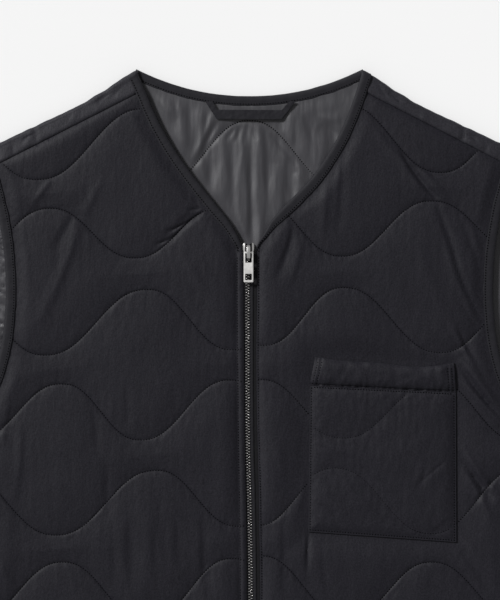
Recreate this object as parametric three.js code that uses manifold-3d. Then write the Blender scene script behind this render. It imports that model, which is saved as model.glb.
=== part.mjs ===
// A quilted zip vest laid flat on its back, in millimetres: +X is the wearer's left, +Y is up the
// garment and +Z is up from the surface that it lies on. Heights down the garment are drops from
// the two neck points. The back lies on the surface, its lining on it, and the fronts on top.
import * as THREE from "three";
import { mergeVertices } from "three/addons/utils/BufferGeometryUtils.js";
import Module from "manifold-3d";

const wasm = await Module();
wasm.setup();

// Cut of the garment
const bodyLength = 680; // neck point to hem
const sideHalf = 292; // centre to side seam
const neckHalf = 102; // centre to neck point
const backNeckDrop = 24.3; // neck point to the middle of the back neckline
const backNeckPower = 2.1; // how round the back neckline is
const frontEdge = 5.4; // centre to each front's edge beside the zip
const bindingWidth = 9;
const seamGap = 0.3;
const neckBindingEnd = 165; // drop of the neck binding's lower end, on the front edge
const neckSteps = 30;
const backNeckSteps = 28;
const armholeSteps = 34;

// Thickness of the layers, from the surface up
const backWall = 3.2;
const liningWall = 1.0;
const liningRise = 2.2; // puff of the quilting over its stitch lines
const frontWall = 1.6;
const frontRise = 3.8;
const bindingWall = 3.0;
const liningBase = backWall + seamGap;
const liningTop = liningBase + liningWall + liningRise;
const frontBase = liningTop + seamGap;
const foldRadius = (frontBase + backWall) / 2; // the back's turn over the shoulder, outside
const sideDip = 3.4; // how far the fronts come down at the side seams
const sideDipWidth = 14;
const liningSideInset = 12; // the lining stops short of the side seams

// Front neckline, outer edge of the binding, from the zip up to the neck point
const neckTable = [
  { drop: neckBindingEnd, wearerRight: 5.4, wearerLeft: 5.4 },
  { drop: 157, wearerRight: 6.8, wearerLeft: 7.2 },
  { drop: 147, wearerRight: 11.7, wearerLeft: 13.0 },
  { drop: 135, wearerRight: 19.0, wearerLeft: 20.0 },
  { drop: 120, wearerRight: 30.8, wearerLeft: 33.5 },
  { drop: 100, wearerRight: 46.7, wearerLeft: 53.0 },
  { drop: 80, wearerRight: 61.5, wearerLeft: 67.9 },
  { drop: 60, wearerRight: 74.0, wearerLeft: 79.6 },
  { drop: 40, wearerRight: 84.5, wearerLeft: 88.5 },
  { drop: 20, wearerRight: 92.9, wearerLeft: 95.7 },
  { drop: 0, wearerRight: neckHalf, wearerLeft: neckHalf },
];

// Line where the back turns over the shoulder, from the neck point to the shoulder tip
const shoulderTable = [
  { x: neckHalf, drop: 0 },
  { x: 116.6, drop: 9 },
  { x: 127, drop: 16.2 },
  { x: 149, drop: 29.7 },
  { x: 170.6, drop: 40.5 },
  { x: 192, drop: 50.4 },
  { x: 214, drop: 60.8 },
  { x: 243, drop: 74 },
];

// The seam that joins the front to the turned-over back
const shoulderSeam = { x: 103, drop: 23.6, slope: 0.5 };

// Armholes, outer edge of the binding, from the shoulder tip to the side seam
const frontArmholeTable = [
  { x: 243, drop: 74 },
  { x: 233.5, drop: 102 },
  { x: 225.5, drop: 135 },
  { x: 220.5, drop: 172 },
  { x: 220, drop: 215 },
  { x: 226, drop: 258 },
  { x: 240, drop: 294 },
  { x: 263, drop: 319 },
  { x: sideHalf, drop: 329 },
];
const backArmholeTable = [
  { x: 243, drop: 74 },
  { x: 240.5, drop: 110 },
  { x: 238.5, drop: 150 },
  { x: 238.5, drop: 200 },
  { x: 243, drop: 248 },
  { x: 254, drop: 288 },
  { x: 271, drop: 317 },
  { x: sideHalf, drop: 329 },
];

// Quilting: wavy stitch lines, each half a wave out of step with the next
const quiltTable = [
  { piece: "frontRight", side: -1, firstDrop: 66, pitch: 80.9, crest: 106, shift: -6, halfWave: 84 },
  { piece: "frontLeft", side: 1, firstDrop: 61.5, pitch: 81.3, crest: 88, shift: 0, halfWave: 81 },
  { piece: "pocket", side: 1, firstDrop: 61.5, pitch: 81.3, crest: 80, shift: 0, halfWave: 81 },
  { piece: "lining", side: 1, firstDrop: 74, pitch: 80.5, crest: 0, shift: 0, halfWave: 81 },
];
const crestLineSwing = 30.5; // lines that crest at the first crest
const troughLineSwing = 24.8; // lines that dip there
const stripShares = [0, 0.06, 0.18, 0.5, 0.82, 0.94]; // rows between two stitch lines
const puffReach = 9; // how soon the cloth rises beside a stitch line
const edgeReach = 7; // and beside a seam

// Chest pocket on the wearer's left, its corners in order round the outline
const pocketCorners = {
  mouthInner: { x: 59.2, drop: 258 },
  mouthOuter: { x: 183.6, drop: 264.5 },
  bandInner: { x: 54, drop: 284 },
  bandOuter: { x: 185.5, drop: 290.3 },
  floorInner: { x: 52.8, drop: 415.4 },
  floorOuter: { x: 186, drop: 424.8 },
};
const pocketWall = 1.4;
const pocketRise = 2.6;
const pocketBandHeight = 5.2;

// Zip, slider and pull tab
const chainHalf = 2.9;
const chainHeight = 2.4;
const tapeOuter = 5.1;
const tapeHeight = 1.0;
const slider = { top: 155.5, bottom: 169.5, half: 5.0, waist: 4.2, plate: 1.2, height: 4.2 };
const bridge = { top: 157.6, bottom: 170, half: 1.6, rise: 3.6, slotHalf: 2.1, slotHeight: 2.3 };
const pull = { pivot: 164.3, length: 27.5, half: 4.3, thick: 1.5, bar: 1.5, eyeHalf: 2.9, eye: 8.4 };
const pullWindow = { half: 2.85, top: 20.6, length: 4.4 };
const zipBox = { half: 4.9, length: 12, height: 3.6 };

// Hanger loop inside the back neck, its two foot points on the binding and its two corners
const loopTable = [
  { x: -40, drop: 27.5 },
  { x: -29.5, drop: 42.5 },
  { x: 30.5, drop: 43.2 },
  { x: 42.5, drop: 27.5 },
];
const loopWidth = 7.6;
const loopHeight = 1.2;

const black = { color: 0x262629, roughness: 0.85, metalness: 0 };
const blackLining = { color: 0x45454a, roughness: 0.45, metalness: 0 };
const steel = { color: 0xc8c5c2, roughness: 0.3, metalness: 1 };

const vest = new THREE.Group();
const yAt = (drop) => bodyLength / 2 - drop;
const point = (row) => new THREE.Vector2(row.x, yAt(row.drop));

// Smooth value of a table's column: a cubic through the rows, straight past both ends.
function smoothColumn(rows, key, column) {
  const sorted = [...rows].sort((a, b) => a[key] - b[key]);
  const slopeAt = (i) => {
    const before = sorted[Math.max(i - 1, 0)];
    const after = sorted[Math.min(i + 1, sorted.length - 1)];
    return (after[column] - before[column]) / (after[key] - before[key]);
  };
  return (at) => {
    const last = sorted.length - 1;
    if (at <= sorted[0][key]) return sorted[0][column] + slopeAt(0) * (at - sorted[0][key]);
    if (at >= sorted[last][key]) return sorted[last][column] + slopeAt(last) * (at - sorted[last][key]);
    const i = sorted.findIndex((row) => row[key] > at) - 1;
    const span = sorted[i + 1][key] - sorted[i][key];
    const t = (at - sorted[i][key]) / span;
    const rise = sorted[i + 1][column] - sorted[i][column];
    const bend = (slopeAt(i) * span - rise) * (1 - t) - (slopeAt(i + 1) * span - rise) * t;
    return sorted[i][column] + rise * t + bend * t * (1 - t);
  };
}

const foldDrop = smoothColumn(shoulderTable, "x", "drop");
const foldY = (x) => yAt(foldDrop(Math.abs(x)));
const seamY = (x) => yAt(shoulderSeam.drop + shoulderSeam.slope * (Math.abs(x) - shoulderSeam.x));
const dipAt = (x) => sideDip * Math.max(0, 1 - (sideHalf - Math.abs(x)) / sideDipWidth) ** 2;
const backNeckAt = (x) => yAt(backNeckDrop * (1 - (Math.abs(x) / neckHalf) ** backNeckPower));

// Points along a curve moved sideways, to the left of its direction where the distance is positive.
function moved(points, distance) {
  return points.map((p, i) => {
    const along = points[Math.min(i + 1, points.length - 1)].clone().sub(points[Math.max(i - 1, 0)]);
    along.normalize();
    return new THREE.Vector2(p.x - along.y * distance, p.y + along.x * distance);
  });
}

// A curve made longer at its start, straight on.
function ledIn(points, distance) {
  const back = points[0].clone().sub(points[1]).setLength(distance);
  return [points[0].clone().add(back), ...points];
}

function neckPath(column) {
  const xAt = smoothColumn(neckTable, "drop", column);
  return Array.from({ length: neckSteps + 1 }, (_, i) => {
    const drop = neckBindingEnd * (1 - i / neckSteps);
    return new THREE.Vector2(xAt(drop), yAt(drop));
  });
}

const armholePath = (table) => new THREE.SplineCurve(table.map(point)).getSpacedPoints(armholeSteps);

function backNeckPath() {
  return Array.from({ length: backNeckSteps + 1 }, (_, i) => {
    const x = neckHalf * Math.sin(Math.PI * (i / backNeckSteps - 0.5));
    return new THREE.Vector2(x, backNeckAt(x));
  });
}

// The stretch of a curve where a measure is not above zero, with the points where it crosses.
function clipped(points, measure) {
  const kept = [];
  points.forEach((p, i) => {
    if (i > 0) {
      const [before, here] = [measure(points[i - 1]), measure(p)];
      if (before * here < 0) kept.push(points[i - 1].clone().lerp(p, before / (before - here)));
    }
    if (measure(p) <= 0) kept.push(p);
  });
  return kept;
}

const below = (points, lineY) => clipped(points, (p) => p.y - lineY(p.x));

const mirrored = (points) => points.map((p) => new THREE.Vector2(-p.x, p.y));

// Solids
function solidFrom(geometry) {
  const bare = new THREE.BufferGeometry();
  const source = geometry.index ? geometry.toNonIndexed() : geometry;
  bare.setAttribute("position", source.getAttribute("position"));
  const merged = mergeVertices(bare, 1e-4);
  const make = (triVerts) =>
    new wasm.Manifold(
      new wasm.Mesh({ numProp: 3, vertProperties: merged.attributes.position.array, triVerts }),
    );
  const faces = new Uint32Array(merged.index.array);
  const solid = make(faces);
  return solid.volume() < 0 ? make(faces.slice().reverse()) : solid;
}

function addPiece(name, solid, finish, parent = vest) {
  const { vertProperties, triVerts, numProp } = solid.getMesh();
  const positions = new Float32Array((vertProperties.length / numProp) * 3);
  for (let i = 0; i < positions.length / 3; i += 1) {
    positions.set(vertProperties.subarray(i * numProp, i * numProp + 3), i * 3);
  }
  const geometry = new THREE.BufferGeometry();
  geometry.setAttribute("position", new THREE.BufferAttribute(positions, 3));
  geometry.setIndex(new THREE.BufferAttribute(triVerts, 1));
  geometry.computeVertexNormals();
  const mesh = new THREE.Mesh(geometry, new THREE.MeshStandardMaterial(finish));
  mesh.name = name;
  parent.add(mesh);
}

function prism(points, low, high, holes = []) {
  const shape = new THREE.Shape(points);
  shape.holes = holes.map((hole) => new THREE.Path(hole));
  const geometry = new THREE.ExtrudeGeometry(shape, { depth: high - low, bevelEnabled: false });
  return solidFrom(geometry.translate(0, 0, low));
}

// A profile of (across, up) points drawn out along Y or X.
function drawnAlongY(profile, from, to) {
  const shape = new THREE.Shape(profile);
  const geometry = new THREE.ExtrudeGeometry(shape, { depth: to - from, bevelEnabled: false });
  return solidFrom(geometry.rotateX(Math.PI / 2).translate(0, to, 0));
}

function drawnAlongX(profile, from, to) {
  const shape = new THREE.Shape(profile);
  const geometry = new THREE.ExtrudeGeometry(shape, { depth: to - from, bevelEnabled: false });
  return solidFrom(geometry.rotateX(Math.PI / 2).rotateZ(Math.PI / 2).translate(from, 0, 0));
}

function geometryOf(points, faces) {
  const geometry = new THREE.BufferGeometry();
  geometry.setAttribute("position", new THREE.Float32BufferAttribute(points.flatMap((p) => p.toArray()), 3));
  geometry.setIndex(faces.flat());
  return geometry;
}

// A closed solid through rings of equal length, with flat ends that capCorners lays out.
function loft(rings, capCorners) {
  const count = rings[0].length;
  const faces = [];
  for (let r = 0; r < rings.length - 1; r += 1) {
    for (let k = 0; k < count; k += 1) {
      const [a, b] = [r * count + k, r * count + ((k + 1) % count)];
      faces.push([a, b, b + count], [a, b + count, a + count]);
    }
  }
  const start = THREE.ShapeUtils.triangulateShape(capCorners(rings[0]), []);
  const turned = THREE.ShapeUtils.isClockWise(capCorners(rings[0]));
  const last = (rings.length - 1) * count;
  for (const [a, b, c] of start) {
    faces.push(turned ? [a, b, c] : [a, c, b]);
    faces.push(turned ? [last + a, last + c, last + b] : [last + a, last + b, last + c]);
  }
  return solidFrom(geometryOf(rings.flat(), faces));
}

// Everything below a surface given as rows of points, down to a flat floor.
function blockUnder(rows, floor) {
  const across = rows[0].length;
  const points = rows.flat();
  const faces = [];
  for (let j = 0; j < rows.length - 1; j += 1) {
    for (let i = 0; i < across - 1; i += 1) {
      const a = j * across + i;
      faces.push([a, a + across, a + 1], [a + 1, a + across, a + across + 1]);
    }
  }
  const border = [];
  for (let i = 0; i < across - 1; i += 1) border.push(i);
  for (let j = 0; j < rows.length - 1; j += 1) border.push(j * across + across - 1);
  for (let i = across - 1; i > 0; i -= 1) border.push((rows.length - 1) * across + i);
  for (let j = rows.length - 1; j > 0; j -= 1) border.push(j * across);
  const base = points.length;
  border.forEach((index) => points.push(new THREE.Vector3(points[index].x, points[index].y, floor)));
  border.forEach((index, k) => {
    const next = (k + 1) % border.length;
    faces.push([index, border[next], base + next], [index, base + next, base + k]);
  });
  const outline = border.map((index) => new THREE.Vector2(points[index].x, points[index].y));
  const clockwise = THREE.ShapeUtils.isClockWise(outline);
  for (const [a, b, c] of THREE.ShapeUtils.triangulateShape(outline, [])) {
    faces.push(clockwise ? [base + a, base + c, base + b] : [base + a, base + b, base + c]);
  }
  return solidFrom(geometryOf(points, faces));
}

// Quilting
function stitchLineDrop(quilt, line, x) {
  const crestLine = line % 2 !== 0;
  const swing = crestLine ? crestLineSwing : -troughLineSwing;
  const phase = (x * quilt.side - quilt.crest - quilt.shift * (line - 1)) / quilt.halfWave;
  return quilt.firstDrop + quilt.pitch * (line - 1) - swing * Math.cos(Math.PI * phase);
}

function distanceToOutline(outline, x, y) {
  const p = new THREE.Vector2(x, y);
  let nearest = Infinity;
  let inside = false;
  outline.forEach((a, i) => {
    const b = outline[(i + 1) % outline.length];
    const edge = b.clone().sub(a);
    const t = THREE.MathUtils.clamp(p.clone().sub(a).dot(edge) / edge.lengthSq(), 0, 1);
    nearest = Math.min(nearest, a.clone().addScaledVector(edge, t).distanceTo(p));
    if (a.y > y !== b.y > y && x < a.x + ((y - a.y) / (b.y - a.y)) * (b.x - a.x)) inside = !inside;
  });
  return inside ? nearest : 0;
}

// A quilted wall: its outer points rise between the stitch lines and stay low along its outline.
function quiltedWall({ quilt, lines, columns, outline, base, wall, rise, dips }) {
  const rows = [];
  for (let line = lines.from; line < lines.to; line += 1) {
    stripShares.forEach((share) => {
      rows.push(
        columns.map((x) => {
          const upper = stitchLineDrop(quilt, line, x);
          const strip = stitchLineDrop(quilt, line + 1, x) - upper;
          const y = yAt(upper + strip * share);
          const puff = 1 - Math.exp((-Math.min(share, 1 - share) * strip) / puffReach);
          const edge = 1 - Math.exp(-distanceToOutline(outline, x, y) / edgeReach);
          return new THREE.Vector3(x, y, base + wall + rise * puff * edge - (dips ? dipAt(x) : 0));
        }),
      );
    });
  }
  rows.push(
    columns.map((x) => new THREE.Vector3(x, yAt(stitchLineDrop(quilt, lines.to, x)), base + wall)),
  );
  return blockUnder(rows, base - 20).intersect(prism(outline, dips ? base - 10 : base, base + 30));
}

const evenly = (from, to, step) => {
  const count = Math.max(1, Math.round((to - from) / step));
  return Array.from({ length: count + 1 }, (_, i) => from + ((to - from) * i) / count);
};

// Fronts
function frontOutline(side) {
  const column = side > 0 ? "wearerLeft" : "wearerRight";
  const inset = bindingWidth + seamGap;
  const topY = (x) => seamY(x) - seamGap / 2;
  const neck = below(ledIn(moved(neckPath(column), -inset), seamGap), topY).reverse();
  const armhole = below(moved(armholePath(frontArmholeTable), -inset), topY).reverse();
  const hemY = yAt(bodyLength - inset);
  const outline = [
    new THREE.Vector2(frontEdge, hemY),
    new THREE.Vector2(sideHalf, hemY),
    ...armhole,
    ...neck,
    new THREE.Vector2(frontEdge, ledIn(neckPath(column), seamGap)[0].y),
  ];
  return outline;
}

function frontUnderside() {
  const across = evenly(sideHalf - sideDipWidth, sideHalf, 3.5);
  const low = across.map((x) => new THREE.Vector2(x, frontBase - dipAt(x)));
  return [
    new THREE.Vector2(0, frontBase),
    ...low,
    new THREE.Vector2(sideHalf + 5, frontBase - sideDip),
    new THREE.Vector2(sideHalf + 5, frontBase + 30),
    new THREE.Vector2(0, frontBase + 30),
  ];
}

function pocketOutline(names, grow) {
  const corners = names.map((name) => point(pocketCorners[name]));
  const centre = corners.reduce((sum, p) => sum.add(p), new THREE.Vector2()).divideScalar(corners.length);
  return corners.map((p) => p.clone().add(p.clone().sub(centre).setLength(grow * Math.SQRT2)));
}

function makeFront(quilt, name) {
  const { side } = quilt;
  const outline = frontOutline(side);
  const columns = [
    frontEdge,
    frontEdge + 2.5,
    frontEdge + 5.5,
    ...evenly(frontEdge + 11, sideHalf - 16, 13),
    sideHalf - 10,
    sideHalf - 6,
    sideHalf - 3,
    sideHalf,
  ];
  const rightHanded = { ...quilt, side: 1 };
  let solid = quiltedWall({
    quilt: rightHanded,
    lines: { from: 0, to: 9 },
    columns,
    outline,
    base: frontBase,
    wall: frontWall,
    rise: frontRise,
    dips: true,
  });
  const length = bodyLength / 2 + 20;
  solid = solid.intersect(drawnAlongY(frontUnderside(), -length, length));
  if (side > 0) {
    const names = ["mouthInner", "mouthOuter", "bandOuter", "floorOuter", "floorInner", "bandInner"];
    const seat = frontBase + frontWall;
    solid = solid.subtract(prism(pocketOutline(names, seamGap), seat, seat + 30));
  }
  addPiece(name, side > 0 ? solid : solid.mirror([1, 0, 0]), black);
}

// Back: a flat wall that turns over each shoulder to the seam with the front
function backSection(x) {
  const centreY = foldY(x) - foldRadius;
  const innerRadius = foldRadius - backWall;
  const hemY = yAt(bodyLength - bindingWidth - seamGap);
  const seamEnd = seamY(x) + seamGap / 2;
  const turn = evenly(-Math.PI / 2, Math.PI / 2, Math.PI / 6);
  const arc = (radius, angle) =>
    new THREE.Vector3(x, centreY + radius * Math.cos(angle), foldRadius + radius * Math.sin(angle));
  return [
    new THREE.Vector3(x, hemY, 0),
    ...turn.map((angle) => arc(foldRadius, angle)),
    new THREE.Vector3(x, seamEnd, 2 * foldRadius),
    new THREE.Vector3(x, seamEnd, frontBase),
    ...turn.map((angle) => arc(innerRadius, -angle)),
    new THREE.Vector3(x, hemY, backWall),
  ];
}

function outsideOfArmhole(table) {
  const inset = bindingWidth + seamGap;
  const edge = ledIn(moved(armholePath(table), -inset), 25);
  const far = sideHalf + 40;
  const end = edge[edge.length - 1];
  return [...edge, new THREE.Vector2(far, end.y), new THREE.Vector2(far, edge[0].y)];
}

function makeBack() {
  const shoulder = evenly(96, 250, 14);
  const columns = [-sideHalf, ...shoulder.map((x) => -x).reverse(), ...shoulder, sideHalf];
  let solid = loft(columns.map(backSection), (ring) => ring.map((p) => new THREE.Vector2(p.y, p.z)));
  const inset = bindingWidth + seamGap;
  const split = frontBase - seamGap / 2;
  const top = yAt(-60);
  const neck = moved(backNeckPath(), -inset);
  const neckEnd = neck[neck.length - 1].x + seamGap;
  const neckHole = [
    ...neck,
    new THREE.Vector2(neckEnd, neck[neck.length - 1].y),
    new THREE.Vector2(neckEnd, top),
    new THREE.Vector2(-neckEnd, top),
    new THREE.Vector2(-neckEnd, neck[0].y),
  ];
  solid = solid.subtract(prism(neckHole, -5, split));
  const sides = [
    { side: 1, column: "wearerLeft" },
    { side: -1, column: "wearerRight" },
  ];
  for (const { side, column } of sides) {
    const placed = (points) => (side > 0 ? points : mirrored(points));
    const neckEdge = moved(neckPath(column), -inset);
    const leadOut = ledIn([...neckEdge].reverse(), 30).reverse();
    const vHole = [...leadOut, new THREE.Vector2(0, top), new THREE.Vector2(0, neckEdge[0].y)];
    solid = solid.subtract(prism(placed(vHole), split, 40));
    solid = solid.subtract(prism(placed(outsideOfArmhole(backArmholeTable)), -5, split));
    solid = solid.subtract(prism(placed(outsideOfArmhole(frontArmholeTable)), split, 40));
  }
  addPiece("back", solid, black);
}

function liningOutline() {
  const inset = bindingWidth + seamGap;
  const topY = (x) => foldY(x) - foldRadius - 1;
  const sideX = sideHalf - liningSideInset;
  const neck = below(moved(backNeckPath(), -inset), topY);
  const armholeEdge = clipped(moved(armholePath(backArmholeTable), -inset), (p) => p.x - sideX);
  const armhole = below(armholeEdge, topY);
  const neckEnd = neck[neck.length - 1].x;
  const shoulder = evenly(neckEnd + 4, armhole[0].x - 4, 16).map((x) => new THREE.Vector2(x, topY(x)));
  const hemY = yAt(bodyLength - inset);
  const leftHalf = [...shoulder, ...armhole, new THREE.Vector2(sideX, hemY)];
  return [...neck, ...leftHalf, ...mirrored(leftHalf).reverse()].reverse();
}

function makeLining(quilt) {
  const outline = liningOutline();
  const reach = sideHalf - liningSideInset;
  const solid = quiltedWall({
    quilt,
    lines: { from: -1, to: 9 },
    columns: evenly(-reach, reach, 18),
    outline,
    base: liningBase,
    wall: liningWall,
    rise: liningRise,
    dips: false,
  });
  addPiece("back_lining", solid, blackLining);
}

// Bindings: a strip with rounded outer edge that follows the outer edge of a curve
function makeBinding(name, path, low, high, inward) {
  const inner = bindingWidth;
  const soft = 1.1;
  const rings = path.map((p, i) => {
    const along = path[Math.min(i + 1, path.length - 1)].clone().sub(path[Math.max(i - 1, 0)]).normalize();
    const across = new THREE.Vector2(-along.y, along.x).multiplyScalar(inward);
    const corner = (distance, up) => {
      const q = p.clone().addScaledVector(across, distance);
      return new THREE.Vector3(q.x, q.y, up(q.x));
    };
    return [
      corner(inner, low),
      corner(soft, low),
      corner(0, (x) => low(x) + soft),
      corner(0, (x) => high(x) - soft),
      corner(soft, high),
      corner(inner, high),
    ];
  });
  addPiece(name, loft(rings, sectionCorners), black);
}

function sectionCorners(ring) {
  const origin = ring[0];
  return ring.map((p) => new THREE.Vector2(Math.hypot(p.x - origin.x, p.y - origin.y), p.z));
}

const onTop = { low: (x) => frontBase - dipAt(x), high: (x) => frontBase + bindingWall - dipAt(x) };
const underneath = { low: () => 0, high: (x) => liningTop - 1.15 * dipAt(x) - 0.15 };
const underNeck = { low: () => 0, high: () => liningTop };

function makeBindings() {
  const sides = [
    { side: 1, word: "left", column: "wearerLeft" },
    { side: -1, word: "right", column: "wearerRight" },
  ];
  for (const { side, word, column } of sides) {
    const placed = (points) => (side > 0 ? points : mirrored(points));
    makeBinding(`neck_binding_${word}`, placed(neckPath(column)), onTop.low, onTop.high, -side);
    const frontArmhole = placed(armholePath(frontArmholeTable));
    makeBinding(`armhole_binding_front_${word}`, frontArmhole, onTop.low, onTop.high, -side);
    const backArmhole = placed(armholePath(backArmholeTable));
    makeBinding(`armhole_binding_back_${word}`, backArmhole, underneath.low, underneath.high, -side);
    const hem = [frontEdge, ...evenly(sideHalf - sideDipWidth, sideHalf, 3.5)];
    const hemPath = placed(hem.map((x) => new THREE.Vector2(x, yAt(bodyLength))));
    makeBinding(`hem_binding_front_${word}`, hemPath, onTop.low, onTop.high, side);
  }
  makeBinding("neck_binding_back", backNeckPath(), underNeck.low, underNeck.high, -1);
  const sideSteps = evenly(sideHalf - sideDipWidth, sideHalf, 3.5);
  const hemSteps = [...sideSteps.map((x) => -x).reverse(), ...sideSteps];
  const hemPath = hemSteps.map((x) => new THREE.Vector2(x, yAt(bodyLength)));
  makeBinding("hem_binding_back", hemPath, underneath.low, underneath.high, 1);
}

// Chest pocket: a quilted patch in its seat on the front, with a padded band along its mouth
function makePocket(quilt) {
  const seat = frontBase + frontWall + seamGap;
  const outline = pocketOutline(["floorInner", "floorOuter", "bandOuter", "bandInner"], 0);
  const patch = quiltedWall({
    quilt,
    lines: { from: 3, to: 6 },
    columns: evenly(pocketCorners.floorInner.x - 1, pocketCorners.floorOuter.x + 1, 11),
    outline,
    base: seat,
    wall: pocketWall,
    rise: pocketRise,
    dips: false,
  });
  addPiece("pocket", patch, black);

  const heights = [
    { share: 0, rise: 0.35 },
    { share: 0.12, rise: 0.75 },
    { share: 0.35, rise: 1 },
    { share: 0.65, rise: 1 },
    { share: 0.88, rise: 0.8 },
    { share: 1, rise: 0.4 },
  ];
  const rings = evenly(0, 1, 0.1).map((along) => {
    const mouth = point(pocketCorners.mouthInner).lerp(point(pocketCorners.mouthOuter), along);
    const joint = point(pocketCorners.bandInner).lerp(point(pocketCorners.bandOuter), along);
    joint.y += seamGap;
    const ends = Math.min(1, 0.45 + Math.sin(Math.PI * along));
    const upper = heights.map(({ share, rise }) => {
      const q = joint.clone().lerp(mouth, share);
      return new THREE.Vector3(q.x, q.y, seat + pocketBandHeight * rise * ends);
    });
    return [new THREE.Vector3(joint.x, joint.y, seat), ...upper, new THREE.Vector3(mouth.x, mouth.y, seat)];
  });
  addPiece("pocket_band", loft(rings, (ring) => ring.map((p) => new THREE.Vector2(p.y, p.z))), black);
}

// Hanger loop: one flat tape with two slanted feet
function makeHangerLoop() {
  const outer = loopTable.map(point);
  const inner = [
    outer[0].clone().add(new THREE.Vector2(loopWidth, 0)),
    outer[1].clone().add(new THREE.Vector2(loopWidth / 2, loopWidth)),
    outer[2].clone().add(new THREE.Vector2(-loopWidth / 2, loopWidth)),
    outer[3].clone().add(new THREE.Vector2(-loopWidth, 0)),
  ];
  inner[1].y = Math.min(inner[1].y, inner[0].y - 0.6);
  inner[2].y = Math.min(inner[2].y, inner[3].y - 0.6);
  const low = liningTop + seamGap;
  addPiece("hanger_loop", prism([...outer, ...inner.reverse()], low, low + loopHeight), black);
}

// Zip: two tapes, the closed chain between them, the box at its foot, the slider and its pull tab
function rectangle(left, right, bottom, top) {
  return [
    new THREE.Vector2(left, bottom),
    new THREE.Vector2(right, bottom),
    new THREE.Vector2(right, top),
    new THREE.Vector2(left, top),
  ];
}

function makeZip() {
  const top = yAt(slider.bottom + seamGap);
  const foot = yAt(bodyLength - zipBox.length - seamGap);
  const tapeLow = frontBase + (chainHeight - tapeHeight) / 2;
  const chain = prism(rectangle(-chainHalf, chainHalf, foot, top), frontBase, frontBase + chainHeight);
  addPiece("zip_chain", chain, steel);
  for (const { side, word } of [{ side: 1, word: "left" }, { side: -1, word: "right" }]) {
    const strip = rectangle(chainHalf + seamGap, tapeOuter, foot, top);
    const tape = prism(side > 0 ? strip : mirrored(strip), tapeLow, tapeLow + tapeHeight);
    addPiece(`zip_tape_${word}`, tape, black);
  }
  const bottom = yAt(bodyLength);
  const box = prism(
    rectangle(-zipBox.half, zipBox.half, bottom, bottom + zipBox.length),
    frontBase,
    frontBase + zipBox.height,
  );
  addPiece("zip_box", box, steel);
}

// Plan of the slider's plates: two shoulders at the top, with a nick between them, and a waist
function sliderPlan(shrink) {
  const wide = slider.half - shrink;
  const slim = slider.waist - shrink;
  const half = [
    { x: 0, drop: slider.top + 2.2 },
    { x: 1.6, drop: slider.top + 1.2 },
    { x: wide - 1.6, drop: slider.top },
    { x: wide - 0.4, drop: slider.top + 0.7 },
    { x: wide, drop: slider.top + 2.4 },
    { x: wide - 0.1, drop: slider.top + 6 },
    { x: slim, drop: slider.top + 9 },
    { x: slim, drop: slider.bottom - 0.8 },
    { x: slim - 0.8, drop: slider.bottom },
  ].map(point);
  return [...half, ...mirrored(half.slice(1)).reverse()];
}

function makeSlider() {
  const low = frontBase;
  const high = frontBase + slider.height;
  const middle = rectangle(-slider.waist + 0.9, slider.waist - 0.9, yAt(slider.bottom - 0.6), yAt(slider.top + 2.6));
  let solid = prism(sliderPlan(0.2), low, low + slider.plate);
  solid = solid.add(prism(middle, low + slider.plate / 2, high - slider.plate / 2));
  solid = solid.add(prism(sliderPlan(0), high - slider.plate, high - 0.3));
  solid = solid.add(prism(sliderPlan(0.3), high - 0.4, high));

  const [top, bottom, pivot] = [bridge.top, bridge.bottom, pull.pivot].map(yAt);
  const arch = [
    new THREE.Vector2(bottom + 0.4, high - 0.4),
    new THREE.Vector2(bottom, high + 1.4),
    new THREE.Vector2(bottom + 0.7, high + 2.7),
    new THREE.Vector2(bottom + 2.6, high + bridge.rise),
    new THREE.Vector2(pivot + 1.5, high + bridge.rise),
    new THREE.Vector2(top - 1.8, high + 2.6),
    new THREE.Vector2(top, high + 0.8),
    new THREE.Vector2(top, high - 0.4),
    new THREE.Vector2(pivot + bridge.slotHalf, high - 0.4),
    new THREE.Vector2(pivot + bridge.slotHalf, high + bridge.slotHeight - 0.6),
    new THREE.Vector2(pivot + bridge.slotHalf - 0.6, high + bridge.slotHeight),
    new THREE.Vector2(pivot - bridge.slotHalf + 0.6, high + bridge.slotHeight),
    new THREE.Vector2(pivot - bridge.slotHalf, high + bridge.slotHeight - 0.6),
    new THREE.Vector2(pivot - bridge.slotHalf, high - 0.4),
  ];
  solid = solid.add(drawnAlongX(arch, -bridge.half, bridge.half));
  addPiece("slider", solid, steel);
}

function roundedRectangle(left, right, bottom, top, radius) {
  const corners = [
    { x: right - radius, y: bottom + radius, from: -Math.PI / 2 },
    { x: right - radius, y: top - radius, from: 0 },
    { x: left + radius, y: top - radius, from: Math.PI / 2 },
    { x: left + radius, y: bottom + radius, from: Math.PI },
  ];
  return corners.flatMap(({ x, y, from }) =>
    [0, 1, 2, 3].map((k) => {
      const angle = from + (k * Math.PI) / 6;
      return new THREE.Vector2(x + radius * Math.cos(angle), y + radius * Math.sin(angle));
    }),
  );
}

// The pull tab turns on its top bar, which lies in the slot of the slider's bridge.
function makePull() {
  const turning = new THREE.Group();
  turning.position.set(0, yAt(pull.pivot), frontBase + slider.height + bridge.slotHeight / 2);
  const top = pull.bar / 2;
  const outline = roundedRectangle(-pull.half, pull.half, top - pull.length, top, 0.7);
  const eye = roundedRectangle(-pull.eyeHalf, pull.eyeHalf, -top - pull.eye, -top, 0.5);
  const windowTop = top - pullWindow.top;
  const window = roundedRectangle(
    -pullWindow.half,
    pullWindow.half,
    windowTop - pullWindow.length,
    windowTop,
    0.5,
  );
  addPiece("pull", prism(outline, -pull.thick / 2, pull.thick / 2, [eye, window]), steel, turning);
  vest.add(turning);
}

const quiltOf = (piece) => quiltTable.find((row) => row.piece === piece);

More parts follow.
